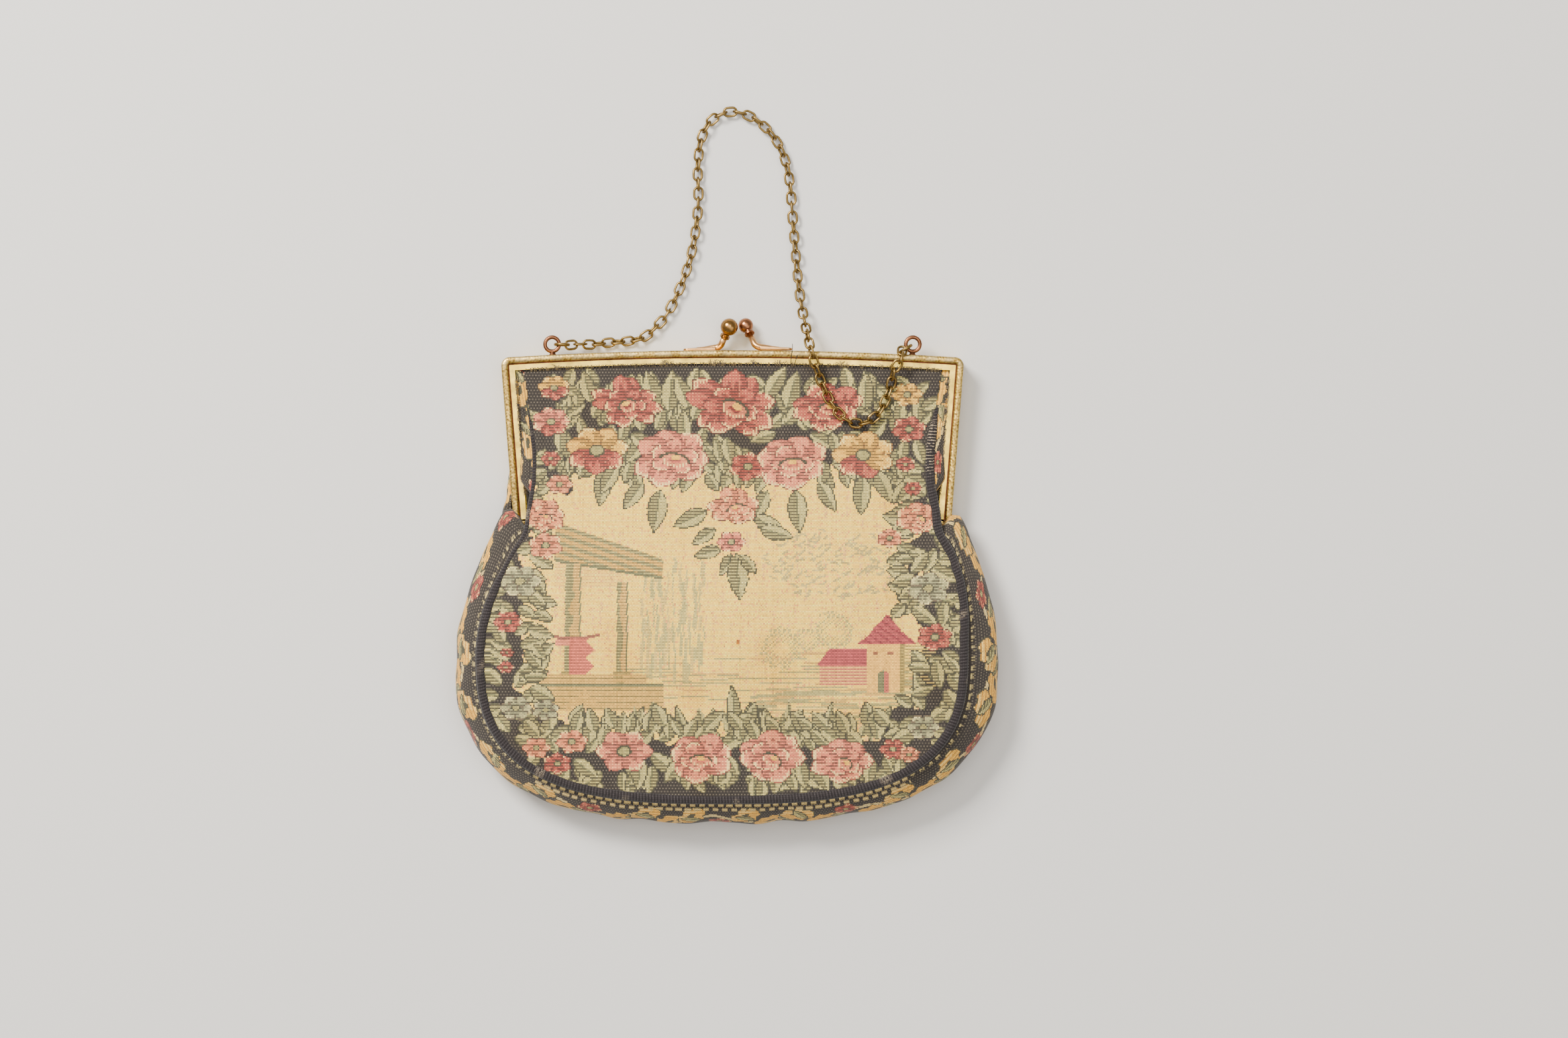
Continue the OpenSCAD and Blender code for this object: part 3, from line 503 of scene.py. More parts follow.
def wreath(loom, draw):
    """Leaves and flowers all round the scene."""
    # Upright leaves along the near shore
    for k in range(34):
        lx, ly = -52 + k * 3.1 + draw.uniform(-1, 1), -51 + draw.uniform(-2, 2)
        turn, length, width = 90 + draw.uniform(-24, 24), draw.uniform(6, 11), draw.uniform(2.2, 3.6)
        leaf(loom, lx, ly, turn, length, width, k % 3 == 0, 1 if k % 2 else -1)
    leaf(loom, 1.5, -47, 96, 13, 4.2, True)
    leaf(loom, 5.5, -48, 72, 9, 3.6, True)
    garland_leaves(loom, draw)
    # Fronds along the top, and the hanging leaves of the swag
    for lx, ly, turn, length in (
            (-26, 60, 105, 15), (-22, 61, 85, 14), (-15, 62, 112, 12), (-44, 62, 128, 12),
            (-49, 64, 105, 11), (12, 66, 58, 12), (19, 62, 75, 13), (43, 60, 62, 14),
            (46, 62, 88, 12), (-44, 41, 262, 13), (-40, 42, 240, 11), (-25, 33, 262, 14),
            (-31, 36, 235, 11), (12, 33, 245, 11), (22, 33, 275, 14), (30, 36, 300, 11),
            (45, 38, 268, 13), (50, 40, 295, 12), (-9, 26, 205, 12), (-6, 20, 215, 9),
            (8, 24, 330, 12), (10, 20, 345, 11), (0, 11, 240, 8), (1.5, 11, 275, 15),
            (3, 11, 310, 8), (-4, 13, 195, 9), (61, 12, 345, 9), (70, 13, 245, 9),
            (62, 5, 50, 9), (62, -7, 325, 10), (73, -5, 265, 9), (62, -22, 310, 9),
            (61, -27, 350, 9), (70, -25, 280, 10), (66, -38, 110, 9), (62, -37, 20, 8)):
        leaf(loom, lx, ly, turn, length, length * 0.44, True)
    for kind, tones, blooms in (
            (rose, red_tones, ((-0.2, 63, 16, 12), (-36.8, 63.8, 12, 30), (33.1, 62.6, 11.8, 8))),
            (daisy, red_tones, ((5.5, 41.5, 6.5, 80),)),
            (rose, pink_tones, ((-20.7, 45, 13.8, 50), (20.3, 43.4, 12.4, 20))),
            (two_tone, ochre_tones, ((-47, 47.2, 11, 10), (45.3, 45.6, 11, 25))),
            (two_tone, pink_tones, ((-63, 57.2, 6.6, 0),)),
            (two_tone, ochre_tones, ((-62, 69, 5.6, 20),)),
            (daisy, red_tones, ((61.3, 54.6, 6, 15),)),
            (daisy, ochre_tones, ((60.7, 66.6, 5.4, 5),)),
            (daisy, red_tones, ((-63, 44.4, 3.4, 0), (60, 42.4, 3.4, 30), (62.6, 34, 3.2, 0))),
            (rose, salmon_tones, ((1, 27.7, 9, 18),)),
            (daisy, pink_tones, ((-0.2, 15.5, 5, 0),)),
            (daisy, salmon_tones, ((-59.8, 35.4, 4.6, 0),)),
            (rose, salmon_tones, ((-65, 24.5, 7.4, 10),)),
            (daisy, salmon_tones, ((-64.3, 14.2, 6, 40),)),
            (rose, salmon_tones, ((64.6, 23.8, 7.5, 0),)),
            (daisy, salmon_tones, ((54.3, 16.8, 4.4, 30),)),
            (daisy, pale_tones, ((-73, 2, 7.4, 0), (67.6, -0.5, 7.5, 20))),
            (daisy, red_tones, ((-77, -12, 5, 0), (-77, -22.5, 2.2, 0), (-77.5, -27.5, 2.8, 0),
                                (69.6, -17.2, 6.2, 20))),
            (daisy, pale_tones, ((-74, -41.5, 5.6, 0), (-63.7, -42.2, 4.8, 20), (65.8, -48, 5.6, 0))),
            (daisy, salmon_tones, ((-67, -55.2, 4.8, 0),)),
            (daisy, red_tones, ((-59.8, -60.6, 5, 30),)),
            (daisy, salmon_tones, ((-54.7, -53, 5.4, 10),)),
            (daisy, pink_tones, ((-36.8, -56.3, 9.8, 60),)),
            (rose, pink_tones, ((-11.1, -58.6, 11, 15), (13.2, -58.2, 11.4, 40), (38.2, -59.6, 10.6, 0))),
            (daisy, red_tones, ((55.5, -55.6, 4.6, 0),)),
            (daisy, salmon_tones, ((61, -57.5, 3.6, 20),))):
        for bx, by, r, turn in blooms:
            kind(loom, bx, by, r, turn, tones)


def garden(loom):
    """Buff field with a faint lake scene, ringed by flowers and leaves on a charcoal ground."""
    x, y = loom.x, loom.y
    draw = np.random.default_rng(5)
    loom.paint(np.ones_like(x, bool), charcoal, 0)
    loom.paint((loom.row + 2 * loom.col) % 4 == 0, ground_speck, 0)
    edge = 0.16 * soft_noise(x, y, 17, 3) + 0.1 * soft_noise(x, y, 7, 6)
    field = np.abs((x + 4) / 67.5) ** 6 + np.abs((y + 6) / 47) ** 6 + 2 * edge < 1
    loom.paint(field, cream, 0.02)
    loom.paint(field & (loom.row % 4 == 1), cream_light, 0.05)
    loom.paint(field & (draw.random(x.shape) < 0.05), rgb(226, 158, 100), 0.05)
    streaks = field & (soft_noise(x * 4, y * 0.5, 9, 8) > 0.75) & (draw.random(x.shape) < 0.5)
    loom.paint(streaks, rgb(228, 178, 112), 0.05)
    lake_shore(loom, draw, field)
    pavilion(loom, edge)
    cottage(loom)
    wreath(loom, draw)
    # Wear: a brown spot and faint stains
    spot = np.hypot(x - 2.1, y + 18.7)
    loom.colour[spot < 0.75] *= np.array([0.7, 0.55, 0.45])
    stain = ease((soft_noise(x, y, 34, 31) - 0.35) / 0.7)[..., None]
    loom.colour *= 1 - stain * np.array([0.04, 0.06, 0.09])


panel_across, panel_along, panel_cell_w, panel_cell_h = 308, 296, 0.54, 0.52
panel_left, panel_low, weft_rib = -panel_across * panel_cell_w / 2, -73.6, 0.045
front_loom = Loom(panel_across, panel_along, panel_cell_w, panel_cell_h, panel_left, panel_low)
garden(front_loom)
front_weave = front_loom.woven(61)


def lay_front(u, v):
    x, y = panel_left + u * panel_across * panel_cell_w, panel_low + v * panel_along * panel_cell_h
    half = np.maximum(seam_half(y, front_spread), 1)
    under_arch = arch_y(np.clip(x, -80, 80)) - inner_inset - y
    inside = np.clip(np.minimum(half - abs(x), under_arch), 0, 60)
    free = ease(inside / 9)
    soft = 0.45 * soft_noise(x, y, 46, 41) + 0.2 * soft_noise(x, y, 19, 42)
    fold = 0.9 * np.exp(-((x + 56 + 0.05 * y) / 3.2) ** 2) * ease((14 - y) / 14) * ease((y + 40) / 16)
    fold = fold - 0.5 * np.exp(-((x - 61 + 0.1 * y) / 4) ** 2) * ease((10 - y) / 14) * ease((y + 50) / 20)
    around = np.where(y > -50, y, x)
    pucker = 0.28 * np.sin(around * 0.83 + 2 * soft_noise(x, y, 30, 43)) * np.exp(-inside / 5)
    pucker = pucker * ease(inside / 2) * ease((50 - y) / 20)
    weft = np.round((y - panel_low) / panel_cell_h).astype(int)
    ribs = np.where(weft % 2 == 0, weft_rib, -weft_rib)
    height = front_face_z(x, y) + cloth_half + (soft + fold) * free + pucker + ribs
    return x + slouch(y), y, height


front_cloth = laid_grid("front_tapestry", panel_across, panel_along, lay_front)


def off_panel(middles, spread):
    x, y = middles[:, 0] - slouch(middles[:, 1]), middles[:, 1]
    above = y > arch_y(np.clip(x, -80, 80)) - 3.4
    return (abs(x) > seam_half(y, spread) - 0.4) | above | (y < seam_bottom + 0.3)


trim(front_cloth, lambda middles: off_panel(middles, front_spread))
front_mid = face_middles(front_cloth)
dye(front_cloth, "weave", front_weave[front_loom.at(front_mid[:, 0], front_mid[:, 1])])


def feed(finish, node, sockets):
    """Gives each input of a node its value, or links it to the output that feeds it."""
    for socket, value in sockets.items():
        if isinstance(value, bpy.types.NodeSocket):
            finish.node_tree.links.new(value, node.inputs[socket])
        else:
            node.inputs[socket].default_value = value


def add_node(finish, kind, sockets, output=0, **settings):
    """Adds a node with its settings and inputs, and gives back one of its outputs."""
    node = finish.node_tree.nodes.new("ShaderNode" + kind)
    for setting, value in settings.items():
        setattr(node, setting, value)
    feed(finish, node, sockets)
    return node.outputs[output]


def multiplied(finish, colour, shade):
    return add_node(finish, "Mix", {"Factor": 1, "A": colour, "B": shade}, "Result",
                    data_type="RGBA", blend_type="MULTIPLY")


def woven_material(name, across, along):
    """Cloth of round threads: the face colours with painted shade between the threads, with fuzz and a
    thread bump.
    """
    finish, shader = new_finish(name)
    counts = (across * math.pi, along * math.pi, 0)
    cells = add_node(finish, "VectorMath", {0: add_node(finish, "UVMap", {}), 1: counts},
                     operation="MULTIPLY")
    rounds = []
    for axis in (0, 1):
        part = add_node(finish, "SeparateXYZ", {0: cells}, axis)
        wave = add_node(finish, "Math", {0: part}, operation="SINE")
        rounds.append(add_node(finish, "Math", {0: wave}, operation="ABSOLUTE"))
    warp = add_node(finish, "Math", {0: rounds[0], 1: 0.45, 2: 0.55}, operation="MULTIPLY_ADD")
    height = add_node(finish, "Math", {0: warp, 1: rounds[1]}, operation="MULTIPLY")
    place = add_node(finish, "TexCoord", {}, "Object")
    fuzz = add_node(finish, "TexNoise", {"Vector": place, "Scale": 2600, "Detail": 3})
    # Painted shade: the face colours are darkened where the threads dip between their crossings
    shade = add_node(finish, "MapRange", {"Value": height, "To Min": 0.62, "To Max": 1.08})
    lint = add_node(finish, "MapRange", {"Value": fuzz, "From Min": 0.3, "From Max": 0.7,
                                         "To Min": 0.86, "To Max": 1.12})
    both = add_node(finish, "Math", {0: shade, 1: lint}, operation="MULTIPLY")
    weave = add_node(finish, "Attribute", {}, "Color", attribute_name="weave")
    bump = add_node(finish, "Bump", {"Height": both, "Strength": 0.55, "Distance": 0.00018})
    feed(finish, shader, {"Base Color": multiplied(finish, weave, both), "Normal": bump, "Roughness": 0.88,
                          "Sheen Weight": 0.15, "Sheen Roughness": 0.5, "Specular IOR Level": 0.25})
    return finish


front_cloth.data.materials.append(woven_material("panel_tapestry", panel_across, panel_along))
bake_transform(front_cloth)
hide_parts("front_panel")

# Back panel: the same tapestry, mirrored, which the purse lies on. It is clamped under the back flange
# and sewn to the back piping, and is flat where it rests on the table.
back_across, back_along = 154, 148
back_loom = Loom(back_across, back_along, 2 * panel_cell_w, 2 * panel_cell_h, panel_left, panel_low)
garden(back_loom)
back_weave = back_loom.woven(62)


def lay_back(u, v):
    x, y = -panel_left * (1 - 2 * u), panel_low + v * panel_along * panel_cell_h
    ruck = 0.12 * (1 + soft_noise(x, y, 30, 44)) * ease((62 - y) / 20)
    return x + slouch(y), y, back_face_z(y) - cloth_half + 0.02 + ruck


back_cloth = laid_grid("back_tapestry", back_across, back_along, lay_back)
trim(back_cloth, lambda middles: off_panel(middles, 0))
back_mid = face_middles(back_cloth)
dye(back_cloth, "weave", back_weave[back_loom.at(-back_mid[:, 0], back_mid[:, 1])])
back_cloth.data.materials.append(woven_material("back_tapestry", 2 * back_across, 2 * back_along))
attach(back_cloth, "purse")
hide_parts("back_panel")

# Gusset: one strip of tapestry with leaf scrolls that joins the two panels round the sides and the
# bottom. It bulges below the hinges and is pinched in at them.
gusset_heights = -83, -60, -30, -15, 0, 8, 14, 20.5
gusset_reach = 8.6, 9, 9.2, 8.4, 7.2, 7, 7.4, -0.6


def along_line(line, count, start=0.0, end=1.0):
    """Points at even steps along a line, from start to end as shares of its length."""
    run = np.r_[0, np.cumsum(np.hypot(*np.diff(line[:, :2], axis=0).T))]
    s = np.linspace(start * run[-1], end * run[-1], count)
    return np.column_stack([np.interp(s, run, line[:, k]) for k in range(line.shape[1])]), s


def whole_seam(spread, top):
    """The seam from the top left round the bottom to the top right, below the height top."""
    right = seam_line(spread)
    right = right[right[:, 1] < top]
    left = right * (-1, 1)
    return np.vstack([left, right[::-1][1:]])


def outward(line):
    way = np.gradient(line, axis=0)
    way /= np.hypot(*way.T)[:, None]
    return np.column_stack([way[:, 1], -way[:, 0]])


gusset_across, gusset_along = 700, 66
gusset_top = hinge_y + 1
gusset_back, gusset_s = along_line(whole_seam(0, gusset_top), gusset_across + 1)
gusset_front = along_line(whole_seam(front_spread, gusset_top), gusset_across + 1)[0]
gusset_out = outward(gusset_back)


def lay_gusset(u, v):
    k = np.round(u * gusset_across).astype(int)
    back, front, out = gusset_back[k], gusset_front[k], gusset_out[k]
    low, high = 2.4, front_face_z(front[:, 0], front[:, 1]) - 0.5
    y = back[:, 1]
    bow = np.sin(np.pi * v) ** 0.8
    rumple = 0.45 * soft_noise(gusset_s[k], v * 22, 17, 51) * ease((8 - y) / 14) * bow
    reach = np.interp(y, gusset_heights, gusset_reach) * bow + rumple
    reach = reach + np.where(back[:, 0] > 0, 3.6, 0.6) * ease((10 - y) / 30) * ease((y + 74) / 40) * bow
    lift = np.where(back[:, 0] < 0, 8, 6) * ease((y + 25) / 40) * ease((20.5 - y) / 5) * bow
    place = between(back, front, v[:, None]) + reach[:, None] * out
    return place[:, 0] + slouch(y), place[:, 1] + lift, between(low, high, v)


def scrollwork(loom, width):
    """Two bands of leaf scrolls and flowers along a strip, with rows of blocks beside both seams."""
    x, y = loom.x, loom.y
    draw = np.random.default_rng(9)
    loom.paint(np.ones_like(x, bool), charcoal, 0)
    loom.paint((loom.row + 2 * loom.col) % 4 == 0, ground_speck, 0)
    length = loom.shape[1] * loom.cell_w
    for band, middle in enumerate((width * 0.29, width * 0.7)):
        stem = middle + 2.6 * np.sin(x * 2 * np.pi / 26 + band)
        loom.paint((abs(y - stem) < 0.75) & (x > left_plain), rgb(222, 198, 142), 0.25)
        for k in range(int(length / 8.7)):
            cx, side = 4 + k * 8.7 + draw.uniform(-1, 1), 1 if k % 2 else -1
            cy = middle + side * 2.2
            turn = draw.uniform(-30, 30) + (25 if side > 0 else 205)
            if cx < left_plain:
                continue
            if k % 5 == 3:
                daisy(loom, cx, cy, 4.2, draw.uniform(0, 90), red_tones, 5)
                continue
            along, across = loom.local(cx, cy, turn)
            d = (along / 5.6) ** 2 + (across / (3.5 + 0.6 * np.sin(along * 1.6))) ** 2
            loom.paint(d < 1.22, leaf_dark, 0.2)
            loom.paint(d < 1, ochre_tones[1], 0.08)
            loom.paint((d < 1) & (across > 0.6), rgb(232, 192, 112), 0.05)
            loom.paint((d < 1) & (loom.row % 3 == 0), ochre_tones[0], 0.1)
            loom.paint((along / 2.1) ** 2 + ((across - 0.5) / 0.9) ** 2 < 1, leaf_dark, 0.1)
            leaf(loom, cx + 3, cy - side * 2.2, turn + 120, 6.5, 2.8, True)
        daisy(loom, 10.5, middle, 4.2, 20, red_tones, 5)
    bottom = abs(x - length / 2) < 0.2 * length
    for row in (0, 1):
        for low in (1.3 + 1.9 * row, width - 2.6 - 1.9 * row):
            block = ((x + 1.6 * row) % 3.2 < 2) & (y > low) & (y < low + 1.35)
            worn = draw.random(x.shape) < 0.35
            loom.paint(block & bottom, rgb(216, 190, 130), 0.35)
            loom.paint(block & ~bottom & ~worn & (row == 0) & (y < low + 1), rgb(184, 168, 122), 0.4)


gusset_w, left_plain = 34.0, 19
gusset_loom = Loom(gusset_across, gusset_along, gusset_s[-1] / gusset_across, gusset_w / gusset_along, 0, 0)
scrollwork(gusset_loom, gusset_w)
gusset_weave = gusset_loom.woven(63)
gusset_cloth = laid_grid("gusset_tapestry", gusset_across, gusset_along, lay_gusset)
gusset_uv = face_uv(gusset_cloth)
gusset_cells = gusset_loom.at(gusset_uv[:, 0] * gusset_s[-1], gusset_uv[:, 1] * gusset_w)
dye(gusset_cloth, "weave", gusset_weave[gusset_cells])
gusset_cloth.data.materials.append(woven_material("gusset_tapestry", gusset_across, gusset_along))
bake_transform(gusset_cloth)
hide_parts("gusset")
fold_across, fold_along, fold_low, fold_top, fold_z = 24, 60, 17.5, 41.0, 5.1
fold_heights, fold_reach = (17.5, 25, 32, 38, 41), (5.4, 3.5, 1.9, 0.7, 0)
leg_gap_top, leg_gap_low = 0.12, 0.55


def lay_side_fold(u, v):
    """The slack of the gusset that is pushed up beside the left leg."""
    y = between(fold_low, fold_top, v)
    bulge = np.interp(y, fold_heights, fold_reach)
    bulge = bulge + 0.25 * soft_noise(y, 3 * u, 9, 52) * ease((40 - y) / 9)
    width = between(1.0, 2.9, ease((fold_top - y) / 12))
    turn = np.pi * u
    clear = between(leg_gap_top, leg_gap_low, ease((32 - y) / 4))
    return -(leg_x(y) + clear + bulge * np.sin(turn) ** 0.7), y, fold_z - width * np.cos(turn)


side_fold = laid_grid("left_gusset_fold", fold_across, fold_along, lay_side_fold)
side_fold_uv = face_uv(side_fold)
side_fold_cells = gusset_loom.at(6 + side_fold_uv[:, 1] * 24, gusset_w * (0.25 + 0.5 * side_fold_uv[:, 0]))
dye(side_fold, "weave", gusset_weave[side_fold_cells])
side_fold.data.materials.append(woven_material("left_gusset_fold", fold_across, fold_along))
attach(side_fold, "purse")
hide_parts("gusset")

# Gusset tops: the two ends of the same tapestry strip, folded in behind the flanges inside the frame.
# They open like fans between its two halves.
web_across, web_along = 140, 110
web_top, web_reach, web_open_h = 76.6, 6.4, 16
web_up = np.linspace(-1, 1, 401)
web_bow = np.clip(1 - web_up ** 4, 0, 1) ** 0.25
web_share = np.r_[0, np.cumsum(np.hypot(web_reach * np.diff(web_bow), web_open_h * np.diff(web_up)))]
web_share /= web_share[-1]


def lay_web(side):
    def place(u, v):
        y = between(hinge_y - 3, web_top, v)
        share = u if side < 0 else 1 - u
        edge = seam_half(y, 0.9) - 0.8
        reach = between(0.9, web_reach, ease((y - hinge_y - 7) / 9))
        low, high = back_face_z(y) + 0.4, front_face_z(edge, y) + 0.25
        up = np.interp(share, web_share, web_up)
        x = edge + reach * np.interp(share, web_share, web_bow)
        return side * x, y, (low + high) / 2 + (high - low) / 2 * up
    return place


for side, name in ((-1, "left_gusset_top"), (1, "right_gusset_top")):
    web = laid_grid(name, web_across, web_along, lay_web(side))
    web_uv = face_uv(web)
    along = web_uv[:, 1] * (web_top - hinge_y + 3) + (60 if side < 0 else 180)
    across = gusset_w * (0.2 + 0.6 * abs((2.9 * web_uv[:, 0] + 1) % 2 - 1))
    dye(web, "weave", gusset_weave[gusset_loom.at(along, across)])
    web.data.materials.append(woven_material(name, web_across, web_along))
    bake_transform(web)
    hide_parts("gusset")

# Piping: two cords covered with bias-cut dark ribbed cloth, sewn into the seams between the panels and
# the gusset. The ribs are rubbed pale in places, most of all beside the right leg.
piping_r, piping_top, rib_pitch, tip_columns, taper_run = 1.7, 64.4, 1.05, 6, 12
piping_across, piping_around = 1900, 14


def lay_piping(line, length, height):
    out = outward(line)

    def place(u, v):
        k = np.round(u * piping_across).astype(int)
        p, o = line[k], out[k]
        turn = 2 * np.pi * v
        from_tip = np.minimum(u, 1 - u)
        end = np.sqrt(np.clip(from_tip * piping_across / tip_columns, 0, 1))
        end = end * between(0.4, 1, ease(from_tip * length / taper_run))
        slack = np.where(p[:, 0] < 0, between(1, 0.55, ease((p[:, 1] + 4) / 12)), 1)
        ribs = 1 + 0.045 * np.sin(2 * np.pi * u * length / rib_pitch + turn)
        r = piping_r * end * slack * ribs
        reach = r * np.cos(turn)
        x, y = p[:, 0] + slouch(p[:, 1]) + reach * o[:, 0], p[:, 1] + reach * o[:, 1]
        return x, y, height(p) + r * np.sin(turn)
    return place


def close_tube(piece):
    """Joins the edges that meet and turns all faces outward."""
    pick(piece)
    bpy.ops.object.mode_set(mode="EDIT")
    bpy.ops.mesh.select_all(action="SELECT")
    bpy.ops.mesh.remove_doubles(threshold=1e-6)
    bpy.ops.mesh.normals_make_consistent(inside=False)
    bpy.ops.object.mode_set(mode="OBJECT")


for name, node, spread, height in (
        ("front_piping_cord", "front_piping", front_spread, lambda p: front_face_z(p[:, 0], p[:, 1]) - 0.1),
        ("back_piping_cord", "back_piping", 0, lambda p: np.full(len(p), piping_r * 1.05))):
    line, run = along_line(whole_seam(spread, piping_top), piping_across + 1)
    piping_length = run[-1]
    cord = laid_grid(name, piping_across, piping_around, lay_piping(line, piping_length, height))
    close_tube(cord)
    cord_uv = face_uv(cord)
    middles = face_middles(cord)
    draw = np.random.default_rng(71)
    # Painted highlights on the crests of the diagonal ribs and painted shade in their grooves, over the
    # dark cloth colour
    rib = np.sin(2 * np.pi * (cord_uv[:, 0] * piping_length / rib_pitch + cord_uv[:, 1]))
    shade = rgb(43, 38, 39) + 0.055 * rib[:, None] + draw.normal(0, 0.016, (len(rib), 1))
    worn = ease((soft_noise(cord_uv[:, 0] * 420, cord_uv[:, 1] * 9, 14, 72) - 0.55) / 0.4) * 0.45
    beside_leg = ease((middles[:, 1] - 36) / 8) * ease((61 - middles[:, 1]) / 6) * (middles[:, 0] > 0)
    worn = np.maximum(worn, 0.8 * beside_leg * (rib > 0.45))
    worn = (worn * (draw.random(len(rib)) < 0.6))[:, None]
    dye(cord, "weave", shade * (1 - worn) + rgb(176, 158, 128) * worn)
    cord.data.materials.append(woven_material(name, piping_across, piping_around))
    if spread:
        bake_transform(cord)
    else:
        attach(cord, "purse")
    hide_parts(node)

# Lining: a thin inner bag of buff satin, in two pieces that are sewn in behind the tops of the panels.
# It is seen only when the frame is open.
lining_across, lining_along, lining_top = 60, 56, 73.0


def lay_lining(front):
    def place(u, v):
        y = between(seam_bottom + 3, lining_top, v)
        half = seam_half(y, 0) - 2.6
        x = half * (2 * u - 1) * (-1 if front else 1)
        ruck = 0.22 * soft_noise(x * 2.2, y * 0.7, 22, 81 + front)
        loose = ease((lining_top - y) / 12)
        if front:
            return x + slouch(y), y, front_face_z(x, y) - cloth_half - 0.9 + ruck * loose
        return x + slouch(y), y, back_face_z(y + 4) + cloth_half + 0.55 + abs(ruck) * loose
    return place


def clouded(finish, scale, stops):
    """Noise, and two tones that it clouds into each other; each tone stands at its own level of noise."""
    place = add_node(finish, "TexCoord", {}, "Object")
    noise = add_node(finish, "TexNoise", {"Vector": place, "Scale": scale})
    tones = finish.node_tree.nodes.new("ShaderNodeValToRGB")
    for stop, (level, colour) in zip(tones.color_ramp.elements, stops):
        stop.color = (*linear(colour), 1)
        stop.position = level
    feed(finish, tones, {0: noise})
    return noise, tones.outputs[0]


satin, satin_shader = new_finish("satin_lining")
satin_grain, satin_dye = clouded(satin, 900, ((0, rgb(196, 170, 128)), (1, rgb(220, 196, 154))))
satin_gloss = add_node(satin, "MapRange", {"Value": satin_grain, "To Min": 0.34, "To Max": 0.52})
feed(satin, satin_shader, {"Base Color": satin_dye, "Roughness": satin_gloss, "Sheen Weight": 0.4})
for name, front in (("front_lining", True), ("back_lining", False)):
    silk = laid_grid(name, lining_across, lining_along, lay_lining(front))
    silk.data.materials.append(satin)
    if front:
        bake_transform(silk)
    else:
        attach(silk, "purse")
    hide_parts("lining")

# Frame rims: pressed brass, gilt and engraved with small laurel leaves on their rounded faces. The
# colour is darker brass in the hollows of the engraving and dark red-brown in the groove beside the flange.
face_h, rim_t, rim_w, corner_r, tip_r = 4.0, 1.2, 2.3, 3.0, 2.4
front_z, back_z = 5.5, 5.2
rim_across, rim_around = 1300, 22
wall_end, foot_start, crown_mid, crown_half = 0.12, 0.86, 0.47, 0.35


def rim_path():
    """Outline of the frame from the right tip to the left tip, with the outward direction."""
    leg_out = np.array([math.cos(lean), -math.sin(lean)])
    tip_c = np.array([leg_x(hinge_y), hinge_y]) - tip_r * leg_out
    # Middle of the corner: as far inside the leg as inside the arch
    low, high = 70.0, corner_y
    for _ in range(40):
        y = (low + high) / 2
        cx = leg_x(y) - corner_r / math.cos(lean)
        if math.hypot(cx, y - arch_cy) < arch_r - corner_r:
            low = y
        else:
            high = y
    centre = np.array([leg_x(low) - corner_r / math.cos(lean), low])
    arch_a = math.atan2(centre[1] - arch_cy, centre[0])
    angles, points = [], []
    for a in np.linspace(-math.pi - lean, -lean, 40):
        points.append(tip_c + tip_r * np.array([math.cos(a), math.sin(a)]))
        angles.append(a)
    for t in np.linspace(0, 1, 60)[1:]:
        start = tip_c + tip_r * leg_out
        end = centre + corner_r * leg_out
        points.append(between(start, end, t))
        angles.append(-lean)
    for a in np.linspace(-lean, arch_a, 16)[1:]:
        points.append(centre + corner_r * np.array([math.cos(a), math.sin(a)]))
        angles.append(a)
    for a in np.linspace(arch_a, math.pi / 2, 80)[1:]:
        points.append(np.array([0, arch_cy]) + arch_r * np.array([math.cos(a), math.sin(a)]))
        angles.append(a)
    right = np.column_stack([np.array(points), angles])
    left = right[:-1][::-1] * (-1, 1, -1) + (0, 0, math.pi)
    return np.vstack([right, left])


rim_line, rim_run = along_line(rim_path(), rim_across + 1)


def rim_profile(v):
    """Inset, height and engraved share across the rim, for v from 0, on the wall, to 1, on the flange."""
    a = np.pi * np.clip((v - wall_end) / (2 * crown_half), 0, 1)
    inset = rim_w / 2 - rim_w / 2 * np.cos(a)
    height = face_h + rim_t * (0.3 + 0.7 * np.sin(a)) + 0.02
    wall, foot = v < wall_end, v > foot_start
    inset = np.where(wall, -0.02, inset)
    height = np.where(wall, between(2.6, face_h + 0.3 * rim_t, v / wall_end), height)
    inset = np.where(foot, rim_w + 0.02 + 0.42 * ease((v - foot_start) / (1 - foot_start)), inset)
    height = np.where(foot, face_h, height)
    return inset, height, np.sin(a) * (~wall) * (~foot)


def laurel(s, w):
    """Height, from 0 to 1, of two rows of small slanted leaves along a band; w runs from -1 to 1."""
    total, step = np.zeros_like(s), 1.05
    for row in (-1, 1):
        for shift in (-1, 0, 1):
            k = np.floor(s / step + 0.25 * row) + shift
            ds = s - (k + 0.5 - 0.25 * row) * step
            dw = (w - 0.43 * row) * 1.15
            along, across = ds * 0.82 + dw * row * 0.57, dw * 0.82 - ds * row * 0.57
            total = np.maximum(total, 1 - (along / 0.62) ** 2 - (across / 0.3) ** 2)
    return np.clip(total, 0, 1)


def lay_rim(front):
    def place(u, v):
        k = np.round((u if front else 1 - u) * rim_across).astype(int)
        q, s = rim_line[k], rim_run[k]
        inset, height, share = rim_profile(v)
        w = np.clip((v - crown_mid) / crown_half, -1, 1)
        worn = 0.55 + 0.45 * ease(0.5 + soft_noise(s, w * 3, 13, 91))
        height = height + 0.035 * laurel(s, w) * ease(share * 2.2) * worn
        height = height + 0.03 * soft_noise(s, w * 2, 1.7, 92) * share
        z = front_z + height if front else back_z - height
        return q[:, 0] - inset * np.cos(q[:, 2]), q[:, 1] - inset * np.sin(q[:, 2]), z
    return place


